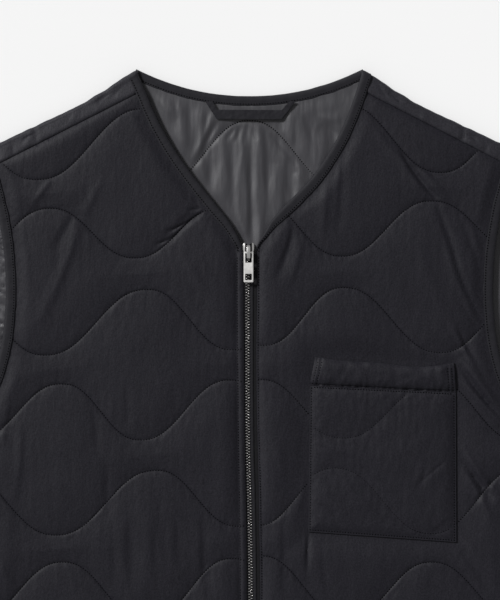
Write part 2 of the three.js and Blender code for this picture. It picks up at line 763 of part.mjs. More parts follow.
makeBack();
makeLining(quiltOf("lining"));
makeFront(quiltOf("frontRight"), "front_right");
makeFront(quiltOf("frontLeft"), "front_left");
makeBindings();
makePocket(quiltOf("pocket"));
makeHangerLoop();
makeZip();
makeSlider();
makePull();

export default vest;
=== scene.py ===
import math

import bmesh
import bpy
from mathutils import Matrix, Vector, noise


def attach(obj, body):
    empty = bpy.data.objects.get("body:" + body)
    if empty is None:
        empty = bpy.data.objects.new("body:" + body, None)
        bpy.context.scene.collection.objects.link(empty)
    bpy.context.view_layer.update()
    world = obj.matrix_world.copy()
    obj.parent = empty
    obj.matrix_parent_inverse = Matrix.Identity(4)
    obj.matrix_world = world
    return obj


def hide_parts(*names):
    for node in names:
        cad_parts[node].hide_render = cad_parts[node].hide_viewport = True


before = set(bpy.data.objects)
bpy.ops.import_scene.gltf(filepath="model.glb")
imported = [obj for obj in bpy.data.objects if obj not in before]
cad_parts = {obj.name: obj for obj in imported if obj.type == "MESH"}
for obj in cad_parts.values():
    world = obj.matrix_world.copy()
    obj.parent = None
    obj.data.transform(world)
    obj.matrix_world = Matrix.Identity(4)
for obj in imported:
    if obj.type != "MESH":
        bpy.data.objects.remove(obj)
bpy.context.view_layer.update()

scene = bpy.context.scene

# A quilted zip vest laid flat on its back. Sizes are in millimetres until a mesh is finished.
# x is across the vest, drop is the distance down from the two neck points, z is up from the floor.
# Right and left are the wearer's, and right is where x is below zero.
vest = {
    "length": 680,
    "sideHalf": 292,
    "neckHalf": 102,
    "neckFoot": 165,       # drop of the V's point
    "armFoot": 330.5,      # drop where an armhole ends at the side
    "armNear": 345,        # from this drop on, no armhole is near
    "backNeckDrop": 24.3,
    "backNeckPower": 2.1,
    "frontBase": 7.0,      # underside of the fronts
    "liningBase": 3.5,
    "backWall": 3.2,
    "foldRadius": 5.1,     # turn of the back over the shoulder
    "foldProud": 1.5,      # the soft fold bulges this far past the shoulder line
    "foldRipple": (700, 9, 1, 0.9),
    "seamStart": 103,      # x of the shoulder seam's start, and then its drop there and its slope
    "seam": {"right": (22.1, 0.507), "left": (19.2, 0.512)},
    "sideDip": 3.4,        # the fronts sink towards the side seams
    "sideDipWidth": 14,
    "binding": 9,
    "bindingEnd": {"right": 5.7, "left": 0.9},   # its width where it meets the zip
    "tuck": 1.5,           # a cloth edge stops this far inside its binding's fold
}
sides = {"right": -1, "left": 1}

# Outlines of one half, as (drop, x), and of the shoulder as (x, drop)
outline = {
    "neckRight": [
        (0, 102), (20, 92.9), (40, 84.5), (60, 74.0), (80, 61.5), (100, 46.7),
        (120, 30.8), (135, 19.0), (147, 11.7), (157, 6.8), (165, 5.4),
    ],
    "neckLeft": [
        (0, 102), (20, 95.7), (40, 88.5), (60, 79.6), (80, 67.9), (100, 53.0),
        (120, 33.5), (135, 20.0), (147, 13.0), (157, 7.2), (165, 5.4),
    ],
    "shoulder": [
        (102, 0), (116.6, 9), (127, 16.2), (149, 29.7), (170.6, 40.5), (192, 50.4), (214, 60.8), (243, 74),
    ],
    "armFront": [
        (74, 243), (102, 233.5), (135, 225.5), (172, 220.5), (215, 220),
        (258, 226), (294, 240), (319, 263), (329, 292),
    ],
    "armBack": [
        (74, 243), (110, 240.5), (150, 238.5), (200, 238.5), (248, 243), (288, 254), (317, 271), (329, 292),
    ],
}

# Turning points of the wavy stitch lines, from the top line down
quiltTurns = {
    "right": [
        [(27, -40), (104, 8), (182, -40), (262, 8)],
        [(20, 97), (94, 34.7), (191, 98.7), (283, 36)],
        [(27, 124.6), (103, 169.2), (179.2, 124.6), (256, 169)],
        [(15.6, 251.8), (91.7, 197.6), (184, 256.7), (268, 198)],
        [(17, 279), (98.2, 333.1), (168.7, 282.6), (248, 333)],
        [(10.7, 410.6), (83.6, 360.4), (174.3, 418.7), (262, 360)],
        [(15, 439.7), (92, 496), (167.9, 443), (248, 496)],
        [(11, 576), (86, 520), (172, 578), (258, 520)],
        [(14, 601), (92, 657), (168, 603), (248, 657)],
        [(11, 737), (86, 681), (172, 739), (258, 681)],
    ],
    "left": [
        [(22, -40), (98, 8), (175, -40), (255, 8)],
        [(18, 92), (85, 31), (172.2, 92.3), (255, 31)],
        [(8, 118), (83, 167.6), (164, 117.9), (248, 167)],
        [(13.4, 247.8), (84.7, 195.9), (172, 254.3), (256, 196)],
        [(10, 278.6), (88, 331), (165, 279), (243, 334)],
        [(7, 410), (78, 358), (165, 416), (245, 358)],
        [(10, 437.3), (88, 493), (164, 443), (245, 497)],
        [(8, 572), (84, 518), (166, 578), (248, 520)],
        [(12, 599), (90, 655), (166, 603), (248, 657)],
        [(8, 735), (84, 679), (166, 741), (248, 681)],
    ],
    "pocket": [
        [(14, 300), (84.7, 331), (164, 284), (243, 333)],
        [(0, 410), (76.6, 358), (163, 417), (245, 358)],
    ],
}
liningQuilt = {"crestDrop": 45, "troughDrop": 104, "halfWave": 82, "pitch": 80.5, "first": -2, "last": 8}


# Measuring

def mix(a, b, t):
    return a + (b - a) * t


def smoothStep(low, high, value):
    t = min(1, max(0, (value - low) / (high - low)))
    return t * t * (3 - 2 * t)


def bell(value):
    return math.exp(-value ** 2)


def ripple(x, drop, kind, shift=0):
    # kind is a seed, a size, how far it is stretched lengthwise, and its height
    seed, size, stretch, high = kind
    return high * noise.noise(Vector((x / size, drop / (size * stretch), seed + shift)))


def smoothCurve(points):
    # through (place, value) pairs, and straight on past its ends
    points = sorted(points)
    last = len(points) - 1
    slopes = []
    for i in range(last + 1):
        (lowAt, low), (highAt, high) = points[max(i - 1, 0)], points[min(i + 1, last)]
        slopes.append((high - low) / (highAt - lowAt))

    def valueAt(at):
        if at <= points[0][0]:
            return points[0][1] + slopes[0] * (at - points[0][0])
        if at >= points[last][0]:
            return points[last][1] + slopes[last] * (at - points[last][0])
        i = 0
        while points[i + 1][0] < at:
            i += 1
        (fromAt, start), (toAt, end) = points[i], points[i + 1]
        span, rise = toAt - fromAt, end - start
        t = (at - fromAt) / span
        bend = (slopes[i] * span - rise) * (1 - t) - (slopes[i + 1] * span - rise) * t
        return start + rise * t + bend * t * (1 - t)

    return valueAt


neckX = {"right": smoothCurve(outline["neckRight"]), "left": smoothCurve(outline["neckLeft"])}
shoulderFold = smoothCurve(outline["shoulder"])
frontArmholeX = smoothCurve(outline["armFront"])
backArmholeX = smoothCurve(outline["armBack"])


def yAt(drop):
    return vest["length"] / 2 - drop


def sideOf(x):
    return "left" if x > 0 else "right"


def foldDrop(x):
    return shoulderFold(x) - vest["foldProud"] + ripple(x, 0, vest["foldRipple"])


def seamDrop(side, x):
    start, slope = vest["seam"][side]
    return start + slope * (abs(x) - vest["seamStart"])


def backNeck(x):
    rounding = (min(abs(x), 110) / vest["neckHalf"]) ** vest["backNeckPower"]
    return vest["backNeckDrop"] * (1 - rounding) - vest["foldProud"]


def neckWidth(side, drop):
    # the neck binding narrows as it runs into the zip's edge
    share = smoothStep(118, vest["neckFoot"], drop)
    return vest["binding"] + (vest["bindingEnd"][side] - vest["binding"]) * share


def dipAt(x):
    return vest["sideDip"] * max(0, 1 - (vest["sideHalf"] - abs(x)) / vest["sideDipWidth"]) ** 2


def frontBaseAt(x):
    return vest["frontBase"] - dipAt(x)


def edgeDistance(curve, x, drop, inward):
    slope = curve(drop + 0.5) - curve(drop - 0.5)
    return (x - curve(drop)) * inward / math.hypot(1, slope)


def waveDrop(turns, x):
    # steeper between its turns than a sine, as the sewn lines are
    i = 0
    while i < len(turns) - 2 and x > turns[i + 1][0]:
        i += 1
    (xa, da), (xb, db) = turns[i], turns[i + 1]
    t = (x - xa) / (xb - xa)
    t = abs(t) if t < 0 else (2 - t if t > 1 else t)
    steep = t * t * t * (t * (6 * t - 15) + 10)
    return da + (db - da) * (0.65 * steep + 0.35 * (1 - math.cos(math.pi * t)) / 2)


def liningTurns(line):
    swing = (liningQuilt["troughDrop"] - liningQuilt["crestDrop"]) / 2
    middle = liningQuilt["crestDrop"] + swing + liningQuilt["pitch"] * line
    return [
        (k * liningQuilt["halfWave"], middle + swing * (1 if (k + line) % 2 else -1))
        for k in range(-4, 5)
    ]


quiltTurns["lining"] = [liningTurns(line) for line in range(liningQuilt["first"], liningQuilt["last"] + 1)]


def nearestLine(name, x, drop):
    # distance to the nearest stitch line, and that line's number
    best, which = 1e9, 0
    for n, turns in enumerate(quiltTurns[name]):
        here = waveDrop(turns, x)
        gap = abs(drop - here)
        if gap < best + 90:
            slope = waveDrop(turns, x + 1) - here
            away = gap / math.hypot(1, slope)
            if away < best:
                best, which = away, n
    return best, which


# Creases, listed one by one: x and drop of both ends, width, lift (below zero for a trough) and bow
creases = {
    "right": [
        (177, 97, 197, 124, 2.2, 0.7, 0), (131, 96, 150, 134, 2.4, 0.7, 0),
        (150, 132, 192, 232, 3.4, 1.1, -3), (157, 126, 178, 166, 2.6, -1.1, 0),
        (36, 123.5, 60, 141, 1.2, -2.4, 0.4), (50, 131.5, 74, 157, 1.0, -2.0, 0),
        (53, 134.5, 76, 146.5, 0.9, -1.4, -0.6), (66, 149, 85, 157, 0.9, -1.5, -0.5),
        (43, 124.6, 57, 126, 1.0, -1.1, 0), (44, 126, 51, 114, 1.1, -1.2, 0.5),
        (50, 120, 84, 148, 4.0, 0.5, -2), (62, 162, 18, 222, 3.2, 0.8, 3),
        (44, 170, 14, 208, 2.0, -0.8, -1), (176, 230, 198, 200, 3.0, 0.5, 2),
        (140, 300, 136, 345, 3.0, -0.6, 1), (128, 350, 127, 402, 2.4, -0.8, 1),
        (112, 280, 111, 325, 2.6, -0.6, -2), (122, 292, 124, 325, 2.4, 0.4, 1),
        (108, 405, 107, 470, 4.0, -0.9, 0), (124, 418, 121, 470, 3.2, -0.6, -1),
        (90, 400, 86, 478, 4.2, 0.6, 2), (66, 398, 64, 452, 3.6, -0.7, -1),
        (42, 400, 36, 480, 3.4, -1.0, 2), (215, 296, 221, 340, 2.6, 0.9, 2),
        (206, 316, 213, 392, 3.0, 0.8, -3), (224, 440, 206, 470, 4.0, 0.8, 3),
        (262, 350, 230, 386, 4.5, 0.9, 4), (270, 372, 246, 420, 4.0, -0.8, 2),
        (60, 520, 58, 580, 3.6, -0.7, 2), (140, 540, 146, 610, 4.2, -0.7, -2),
        (204, 560, 196, 640, 4.0, 0.7, 2), (250, 520, 262, 600, 4.6, -0.8, 3),
    ],
    "left": [
        (40, 139, 23, 188, 2.6, -1.6, 2), (48, 150, 34, 196, 3.0, 0.6, 2),
        (76, 52, 66, 160, 3.4, 0.8, -2), (84, 60, 78, 150, 2.6, -0.7, 2),
        (112, 50, 146, 92, 3.2, 0.7, -2), (136, 74, 172, 120, 1.7, -2.6, -2),
        (128, 62, 162, 118, 3.4, 1.1, -2), (148, 76, 186, 122, 3.0, 0.8, -3),
        (168, 120, 190, 176, 2.2, -1.6, -1), (178, 148, 218, 240, 1.6, -1.9, -5),
        (174, 144, 215, 244, 2.6, 1.0, -5), (192, 138, 217, 194, 2.4, -0.8, -2),
        (198, 134, 219, 184, 2.2, 0.7, -2), (184, 196, 219, 248, 2.4, -0.9, -3),
        (150, 150, 186, 236, 5.0, 0.6, -3), (128, 160, 150, 220, 5.0, -0.4, 2),
        (142, 234, 158, 262, 2.6, 0.8, 1), (180, 226, 224, 292, 2.4, 2.2, -2),
        (186, 232, 228, 302, 2.0, -2.6, -2), (186, 252, 232, 314, 2.4, 2.2, -1),
        (188, 264, 226, 312, 2.0, -2.5, -2), (188, 278, 238, 332, 2.4, 1.7, 2),
        (204, 292, 246, 340, 2.4, -1.8, 2), (188, 334, 226, 384, 2.4, 2.2, -2),
        (188, 344, 220, 388, 2.0, -2.6, -2), (190, 358, 218, 404, 2.2, 1.8, 2),
        (188, 414, 236, 470, 4.2, 1.0, -3), (190, 428, 228, 480, 3.6, -0.9, -2),
        (150, 428, 172, 452, 3.2, 0.5, 1), (50, 360, 38, 410, 3.0, 0.6, 2),
        (53, 408, 51.5, 452, 1.5, -1.8, 0), (30, 404, 30, 470, 3.0, -0.7, 1),
        (64, 424, 74, 480, 3.2, -0.6, -2), (20, 330, 30, 366, 3.2, 0.5, 2),
        (226, 330, 262, 420, 4.6, 0.8, -3), (246, 340, 280, 410, 4.0, -0.8, 3),
        (46, 540, 50, 610, 4.0, -0.7, 2), (128, 530, 122, 600, 4.2, 0.7, -2),
        (210, 540, 204, 630, 4.4, -0.8, 3), (262, 480, 254, 560, 4.4, 0.8, 2),
    ],
    "pocket": [
        (184, 346, 151, 373, 0.9, -0.55, -1), (160, 356, 150, 378, 2.0, -0.5, 0),
        (60, 372, 92, 410, 3.0, 0.7, 3), (62, 390, 84, 414, 2.4, -0.6, 2),
        (80, 366, 116, 408, 3.2, 0.5, 2), (60, 334, 96, 346, 2.6, 0.5, -1),
        (160, 296, 182, 318, 3.0, 0.5, 2), (168, 300, 184, 312, 2.2, -0.5, 1),
        (180, 402, 160, 420, 2.6, -0.6, 1), (120, 300, 134, 318, 3.0, 0.3, 1),
    ],
    "lining": [
        (-26, 42, -46, 82, 2.4, -0.9, -2), (-32, 36, -50, 84, 2.8, 0.9, 1),
        (-40, 34, -42, 66, 2.2, -0.6, 1), (-60, 30, -58, 86, 5.0, 0.9, 1),
        (-84, 22, -66, 44, 3.4, 0.6, 2), (-74, 78, -58, 84, 2.0, -0.7, 1),
        (-72, 72, -58, 79, 2.4, 0.5, 1), (-12, 49, -22, 64, 1.5, -0.5, 0),
        (-8, 49, -14, 66, 1.4, -0.5, 0), (-3, 49, -5, 68, 1.4, -0.5, 0), (2, 49, 6, 64, 1.4, -0.4, 0),
        (-5, 40, -5, 190, 3.6, 1.1, 0), (1.5, 50, 2.5, 180, 2.4, -0.9, -1),
        (9, 40, 8.5, 170, 3.4, 1.1, 2), (15, 54, 15, 130, 3.4, -0.7, 2),
        (-15, 60, -14, 140, 3.0, -0.8, -1), (-24, 60, -28, 130, 4.6, 0.9, 2),
        (-36, 80, -38, 116, 2.8, -0.6, 1), (24, 84, 24, 140, 5.0, 1.0, -1),
        (33, 78, 38, 116, 3.0, -0.8, -1), (20, 56, 44, 86, 3.4, -0.8, 0), (42, 92, 48, 108, 3.0, 0.6, 0),
        (44, 34, 62, 86, 5.0, 0.9, -2), (64, 48, 86, 64, 4.4, -1.0, 1), (62, 40, 84, 44, 3.4, 0.6, -2),
        (38, 30, 50, 34, 2.0, 0.5, 0),
    ],
    "strip": [
        (193, 52, 190.5, 66, 1.4, -1.4, 0), (194, 57, 205, 64, 1.4, -0.8, 0.5),
        (190, 60, 181, 66, 1.4, -0.7, 0.5), (197, 55, 202, 70, 2.0, 0.6, 0),
        (110, 6, 126, 22, 1.8, 0.7, 1), (113, 8, 124, 26, 1.5, -0.8, 0), (124, 20, 137, 30, 1.5, -0.8, 1),
        (128, 20, 146, 30, 2.4, 0.5, 0), (156, 36, 160, 48, 2.6, 0.5, 0),
        (214, 64, 211, 78, 1.6, -0.8, 0), (226, 70, 224, 84, 2.0, -0.6, 0),
    ],
}


def prepared(name):
    # each crease is steep on its dark side and gentle on the side that faces the light
    ready = []
    lightX = 0.8 if name == "right" else -0.8
    for ax, ad, bx, bd, width, lift, bow in creases[name]:
        long = math.hypot(bx - ax, bd - ad)
        along = ((bx - ax) / long, (bd - ad) / long)
        lit = math.copysign(1, along[1] * lightX + along[0] * 0.6)
        near, far = (1.5, 0.9) if lift > 0 else (0.9, 1.8)
        reach = 3 * width + abs(bow) + 1
        box = (min(ax, bx) - reach, max(ax, bx) + reach, min(ad, bd) - reach, max(ad, bd) + reach)
        ready.append((ax, ad, along, long, (width * near, width * far), lift, bow, lit, box))
    return ready


creaseSets = {name: prepared(name) for name in creases}


def creaseLift(which, x, drop):
    total = 0
    for ax, ad, (tx, td), long, widths, lift, bow, lit, box in creaseSets[which]:
        if box[0] < x < box[1] and box[2] < drop < box[3]:
            t = ((x - ax) * tx + (drop - ad) * td) / long
            if 0 < t < 1:
                across = (x - ax) * td - (drop - ad) * tx - bow * math.sin(math.pi * t)
                fade = math.sin(math.pi * t) ** 0.8
                width = widths[0] if across * lit > 0 else widths[1]
                total += lift * fade * bell(across / (width * (0.7 + 0.5 * t)))
    return total


# Meshes

def clothSheet(columns, rows, planAt, placeAt, level=None, isOut=None, pulledIn=None, isGone=None):
    # a grid laid out in the cloth's own plan, trimmed to its outline, given two sides and then put in place
    bm = bmesh.new()
    bmesh.ops.create_grid(bm, x_segments=columns, y_segments=rows, size=0.5)
    for v in bm.verts:
        x, drop = planAt(v.co.x + 0.5, 0.5 - v.co.y)
        v.co = (x, drop, 0)
    if isOut:
        out = {v for v in bm.verts if isOut(v.co.x, v.co.y)}
        gone = {v for v in out if isGone and isGone(v.co.x, v.co.y)}
        trimmed = [f for f in bm.faces if all(v in out for v in f.verts) or any(v in gone for v in f.verts)]
        bmesh.ops.delete(bm, geom=trimmed, context="FACES")
        for v in bm.verts:
            if v in out:
                x, drop = pulledIn(v.co.x, v.co.y)
                v.co = (x, drop, 0)
    made = bmesh.ops.extrude_face_region(bm, geom=bm.faces[:], use_keep_orig=True)["geom"]
    for v in [g for g in made if isinstance(g, bmesh.types.BMVert)]:
        v.co.z = 1
    for v in bm.verts:
        v.co = placeAt(v.co.x, v.co.y, v.co.z > 0.5)
    bmesh.ops.dissolve_degenerate(bm, edges=bm.edges, dist=1e-4)
    if level is not None:
        # a few long faces in place of the level part of the cloth's other side
        flat = [f for f in bm.faces if all(abs(v.co.z - level) < 1e-4 for v in f.verts)]
        bmesh.ops.delete(bm, geom=flat, context="FACES")
        rim = [e for e in bm.edges if e.is_boundary]
        bmesh.ops.triangle_fill(bm, use_beauty=True, use_dissolve=False, edges=rim)
    return bm


def dress(bm, name, nodes, material, body="vest", sharp=50):
    # the finished piece, in metres, standing for the CAD nodes that are named
    bmesh.ops.recalc_face_normals(bm, faces=bm.faces)
    bmesh.ops.scale(bm, vec=(0.001, 0.001, 0.001), verts=bm.verts)
    mesh = bpy.data.meshes.new(name)
    bm.to_mesh(mesh)
    bm.free()
    mesh.shade_smooth()
    mesh.set_sharp_from_angle(angle=math.radians(sharp))
    mesh.materials.append(material)
    piece = bpy.data.objects.new(name, mesh)
    scene.collection.objects.link(piece)
    if nodes:
        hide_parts(*nodes)
    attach(piece, body)
    print(name, len(mesh.polygons))


# Materials

class Wire:
    def __init__(self, paint, socket):
        self.paint = paint
        self.socket = socket

    def __add__(self, other):
        return self.paint.sum("ADD", self, other)

    def __radd__(self, other):
        return self.paint.sum("ADD", other, self)

    def __sub__(self, other):
        return self.paint.sum("SUBTRACT", self, other)

    def __rsub__(self, other):
        return self.paint.sum("SUBTRACT", other, self)

    def __mul__(self, other):
        return self.paint.sum("MULTIPLY", self, other)

    def __rmul__(self, other):
        return self.paint.sum("MULTIPLY", other, self)


class Paint:
    def __init__(self, name):
        self.material = bpy.data.materials.new(name)
        self.material.use_nodes = True
        self.tree = self.material.node_tree
        self.tree.nodes.clear()

    def add(self, kind, settings, values, output=0):
        node = self.tree.nodes.new(kind)
        for key, value in settings.items():
            setattr(node, key, value)
        for key, value in values.items():
            if isinstance(value, Wire):
                self.tree.links.new(value.socket, node.inputs[key])
            else:
                node.inputs[key].default_value = value
        return Wire(self, node.outputs[output] if node.outputs else None)

    def sum(self, operation, a, b):
        return self.add("ShaderNodeMath", {"operation": operation}, {0: a, 1: b})

    def placed(self, scale):
        where = self.add("ShaderNodeTexCoord", {}, {}, "Object")
        return self.add("ShaderNodeMapping", {}, {"Vector": where, "Scale": scale})

    def noise(self, scale, size, detail=3):
        values = {"Vector": self.placed(scale), "Scale": size, "Detail": detail}
        return self.add("ShaderNodeTexNoise", {}, values, "Fac")

    def wave(self, direction, size, warp=0):
        values = {"Vector": self.placed((1, 1, 1)), "Scale": size, "Distortion": warp, "Detail": 1}
        settings = {"wave_type": "BANDS", "bands_direction": direction}
        return self.add("ShaderNodeTexWave", settings, values, "Fac")

    def tinted(self, low, high, share):
        values = {0: share, 6: (*low, 1), 7: (*high, 1)}
        return self.add("ShaderNodeMix", {"data_type": "RGBA"}, values, 2)

    def bumped(self, height, distance, strength=1, under=None):
        values = {"Height": height, "Distance": distance, "Strength": strength}
        if under is not None:
            values["Normal"] = under
        return self.add("ShaderNodeBump", {}, values)

    def done(self, values):
        shader = self.add("ShaderNodeBsdfPrincipled", {}, values)
        self.add("ShaderNodeOutputMaterial", {}, {"Surface": shader})
        return self.material


def makeNylon(name, low, high):
    # light woven nylon, crinkled mostly lengthwise, with a dull sheen
    paint = Paint(name)
    crinkle = paint.noise((1, 0.42, 1), 460, 4)
    soft = paint.noise((1, 0.55, 1), 120, 3)
    patch = paint.noise((1, 1, 1), 14, 2)
    weave = paint.wave("X", 900) * paint.wave("Y", 900)
    grain = paint.noise((1, 0.8, 1), 900, 1)
    shade = 0.12 * patch + 0.1 * soft + 0.78 * grain
    normal = paint.bumped(soft, 0.0006, 0.6)
    normal = paint.bumped(crinkle, 0.0004, 0.6, normal)
    normal = paint.bumped(weave, 0.00005, 0.5, normal)
    return paint.done({
        "Base Color": paint.tinted(low, high, 1.8 * shade - 0.4),
        "Roughness": 0.52 + 0.16 * crinkle,
        "Specular IOR Level": 0.2,
        "Sheen Weight": 0.04,
        "Sheen Roughness": 0.45,
        "Sheen Tint": (0.85, 0.87, 1, 1),
        "Normal": normal,
    })


def makeSatin(name, low, high):
    # smooth lining cloth that shines lengthwise
    paint = Paint(name)
    grain = paint.noise((1, 0.18, 1), 300, 3)
    soft = paint.noise((1, 0.3, 1), 90, 2)
    weave = paint.wave("X", 1400)
    normal = paint.bumped(soft, 0.0009, 0.8)
    normal = paint.bumped(grain, 0.0002, 0.7, normal)
    normal = paint.bumped(weave, 0.00003, 0.5, normal)
    return paint.done({
        "Base Color": paint.tinted(low, high, soft),
        "Roughness": 0.41 + 0.1 * grain,
        "Specular IOR Level": 0.62,
        "Sheen Weight": 0.08,
        "Sheen Roughness": 0.35,
        "Normal": normal,
    })


def makeTapeCloth(name, low, high, rough, size, warp):
    # a woven tape: fine ribs one way, finer threads the other
    paint = Paint(name)
    ribs = paint.wave("DIAGONAL", size, warp)
    threads = paint.wave("Y", size * 1.7)
    worn = paint.noise((1, 1, 1), 160, 3)
    normal = paint.bumped(worn, 0.0005, 0.7)
    normal = paint.bumped(0.6 * ribs + 0.4 * threads, 0.00012, 0.6, normal)
    return paint.done({
        "Base Color": paint.tinted(low, high, 0.6 * worn + 0.4 * ribs),
        "Roughness": rough + 0.12 * worn,
        "Specular IOR Level": 0.2,
        "Sheen Weight": 0.05,
        "Sheen Roughness": 0.4,
        "Normal": normal,
    })


def makeMetal(name, metallic, low, high):
    # cloudy plating with fine scratches
    paint = Paint(name)
    scratches = paint.noise((1, 0.08, 1), 900, 2)
    cloudy = paint.noise((1, 1, 1), 260, 3)
    return paint.done({
        "Base Color": paint.tinted(low, high, cloudy),
        "Metallic": metallic,
        "Roughness": 0.2 + 0.14 * cloudy,
        "Normal": paint.bumped(scratches, 0.00004, 0.4),
    })


def makeThread(name, low, high):
    paint = Paint(name)
    twist = paint.wave("DIAGONAL", 1500)
    return paint.done({
        "Base Color": paint.tinted(low, high, twist),
        "Roughness": 0.9,
        "Specular IOR Level": 0.03,
        "Normal": paint.bumped(twist, 0.0001, 0.5),
    })


nylon = makeNylon("quiltedNylon", (0.0028, 0.0025, 0.0052), (0.0142, 0.0134, 0.0186))
# painted light: the back is the same nylon as the fronts, painted lighter to stand for the light the shoulder
# strips catch where they turn up towards the lamp
backNylonPaintedLight = makeNylon("backNylonPaintedLight", (0.008, 0.0076, 0.0108), (0.026, 0.025, 0.0315))
satin = makeSatin("satinLining", (0.02, 0.0195, 0.0238), (0.036, 0.035, 0.0415))
bindingCloth = makeTapeCloth("bindingTape", (0.0062, 0.006, 0.0088), (0.0135, 0.013, 0.0168), 0.55, 620, 2)
zipCloth = makeTapeCloth("zipTape", (0.0066, 0.0064, 0.0084), (0.0145, 0.014, 0.0172), 0.6, 800, 0)
# painted shade: the tape under the teeth takes a near-black colour, much darker than the tape itself, to
# stand for the shade between the teeth
zipGroundPaintedShade = makeTapeCloth("zipGroundPaintedShade", (0.0024, 0.0023, 0.0032), (0.0062, 0.006, 0.0078), 0.7, 800, 0)
plated = makeMetal("platedMetal", 1.0, (0.50, 0.49, 0.48), (0.74, 0.73, 0.72))
polished = makeMetal("pullMetal", 0.4, (0.50, 0.49, 0.48), (0.98, 0.97, 0.95))
thread = makeThread("sewingThread", (0.0006, 0.0006, 0.0008), (0.002, 0.002, 0.0025))
print("finishes made")


# Camera, light and floor

studio = {
    "lens": 100,
    "camera": (0.00045, 0.133, 1.509),           # metres, straight above the photo's middle
    "world": 0.30,
    "sun": 4.09,
    "sunAngle": 13,
    "sunTilt": 55,
    "sunTurn": 54,
    "floorHalf": 6,
    "floorLow": -0.0004,
    "floorTones": ((0.86, 0.86, 0.86), (0.88, 0.88, 0.88)),
}
camera = bpy.data.objects.new("photoCamera", bpy.data.cameras.new("photoCamera"))
camera.data.lens = studio["lens"]
camera.data.sensor_width = 36
camera.data.clip_start = 0.05
camera.location = studio["camera"]
scene.collection.objects.link(camera)
bpy.context.scene.camera = camera
scene.view_settings.view_transform = "Standard"

world = bpy.data.worlds.new("studioLight")
world.use_nodes = True
world.node_tree.nodes["Background"].inputs["Color"].default_value = (1, 1, 1, 1)
world.node_tree.nodes["Background"].inputs["Strength"].default_value = studio["world"]
scene.world = world
sun = bpy.data.objects.new("softSun", bpy.data.lights.new("softSun", "SUN"))
sun.data.energy = studio["sun"]
sun.data.angle = math.radians(studio["sunAngle"])
tilt = Matrix.Rotation(math.radians(-studio["sunTilt"]), 4, "X")
sun.matrix_world = Matrix.Rotation(math.radians(studio["sunTurn"]), 4, "Z") @ tilt
scene.collection.objects.link(sun)

floorMesh = bmesh.new()
bmesh.ops.create_grid(floorMesh, x_segments=1, y_segments=1, size=studio["floorHalf"])
bmesh.ops.translate(floorMesh, vec=(0, 0, studio["floorLow"]), verts=floorMesh.verts)
floor = bpy.data.objects.new("paleFloor", bpy.data.meshes.new("paleFloor"))
floorMesh.to_mesh(floor.data)
floorMesh.free()
scene.collection.objects.link(floor)
floorPaint = Paint("paleFloor")
floorShade = floorPaint.tinted(*studio["floorTones"], floorPaint.noise((1, 1, 1), 3, 1))
floor.data.materials.append(floorPaint.done({"Base Color": floorShade, "Roughness": 0.9}))


# Fronts

front = {
    "columns": 196,
    "startX": 5.4,         # where the first column is before it follows the zip
    "stripRows": 41,       # rows of faces from one stitch line to the next
    "endRows": 5,
    "firstDrop": -60,      # the rows run from here
    "lastDrop": 745,
    "wall": 1.6,
    "rise": 2.9,           # puff of the padding over the stitch lines
    "most": 1.2,           # what folds may add to it
    "lipReach": 0.95,      # the steep first rise beside a stitch line
    "lipShare": 0.2,
    "puffReach": 15,       # and the slow one after it
    "tucked": 1.75,        # height inside a binding
    "tuckReach": 13,
    "hemTuck": 1.5,
    "seamGap": 0.15,
    "stitchAt": {"right": 5.7, "left": 1.5},     # the stitches beside the zip
    "zipFold": {"right": 1.3, "left": 0.5},      # height of the fold outside them
    "heavyFrom": (230, 420),                     # drops between which long folds set in
    "underPocket": 1.5,
    "uneven": (5, 30, 1.2, 0.2),
    "pucker": (21, 3.6, 2.2, 0.55),
    "crinkle": (40, 4.6, 3.6, 0.16),
    "heavy": (60, 15, 5, 0.7),
    "tuckPucker": (80, 3.6, 1, 0.5),
}
# Where each front ends beside the zip, and the middle of the teeth, as (drop, x)
zipLine = {
    "right": smoothCurve([
        (150, -5.4), (207, -5.4), (252, -5.0), (306, -4.5), (342, -4.1),
        (378, -3.4), (414, -2.8), (468, -2.5), (560, -2.7), (680, -4.6),
    ]),
    "teeth": smoothCurve([
        (150, -1.9), (207, -1.9), (252, -1.9), (306, -1.8), (342, -1.4),
        (378, -0.4), (414, 0.3), (468, 0.9), (560, 0.7), (680, 0.0),
    ]),
    "left": smoothCurve([
        (150, 6.6), (207, 6.8), (252, 6.1), (306, 6.6), (342, 7.4),
        (378, 8.3), (414, 8.8), (468, 9.6), (560, 8.4), (680, 6.0),
    ]),
}
# The pocket's outline lies here because the front sinks beneath it
pocketCorners = {
    "mouthInner": (59.2, 258),
    "mouthOuter": (183.6, 264.5),
    "bandOuter": (185.5, 290.3),
    "floorOuter": (186, 424.8),
    "floorInner": (52.8, 415.4),
    "bandInner": (54, 284),
}


def zipEdge(side, drop):
    return sides[side] * zipLine[side](min(max(drop, 150), vest["length"]))


def outsidePocket(x, drop):
    # distance from the pocket's outline, below zero inside it
    corners = list(pocketCorners.values())
    far = -1e9
    for (ax, ad), (bx, bd) in zip(corners, corners[1:] + corners[:1]):
        long = math.hypot(bx - ax, bd - ad)
        far = max(far, ((bd - ad) * (x - ax) - (bx - ax) * (drop - ad)) / long)
    return far


def puffAt(away):
    lip = 1 - math.exp(-away / front["lipReach"])
    return front["lipShare"] * lip + (1 - front["lipShare"]) * (1 - math.exp(-away / front["puffReach"]))


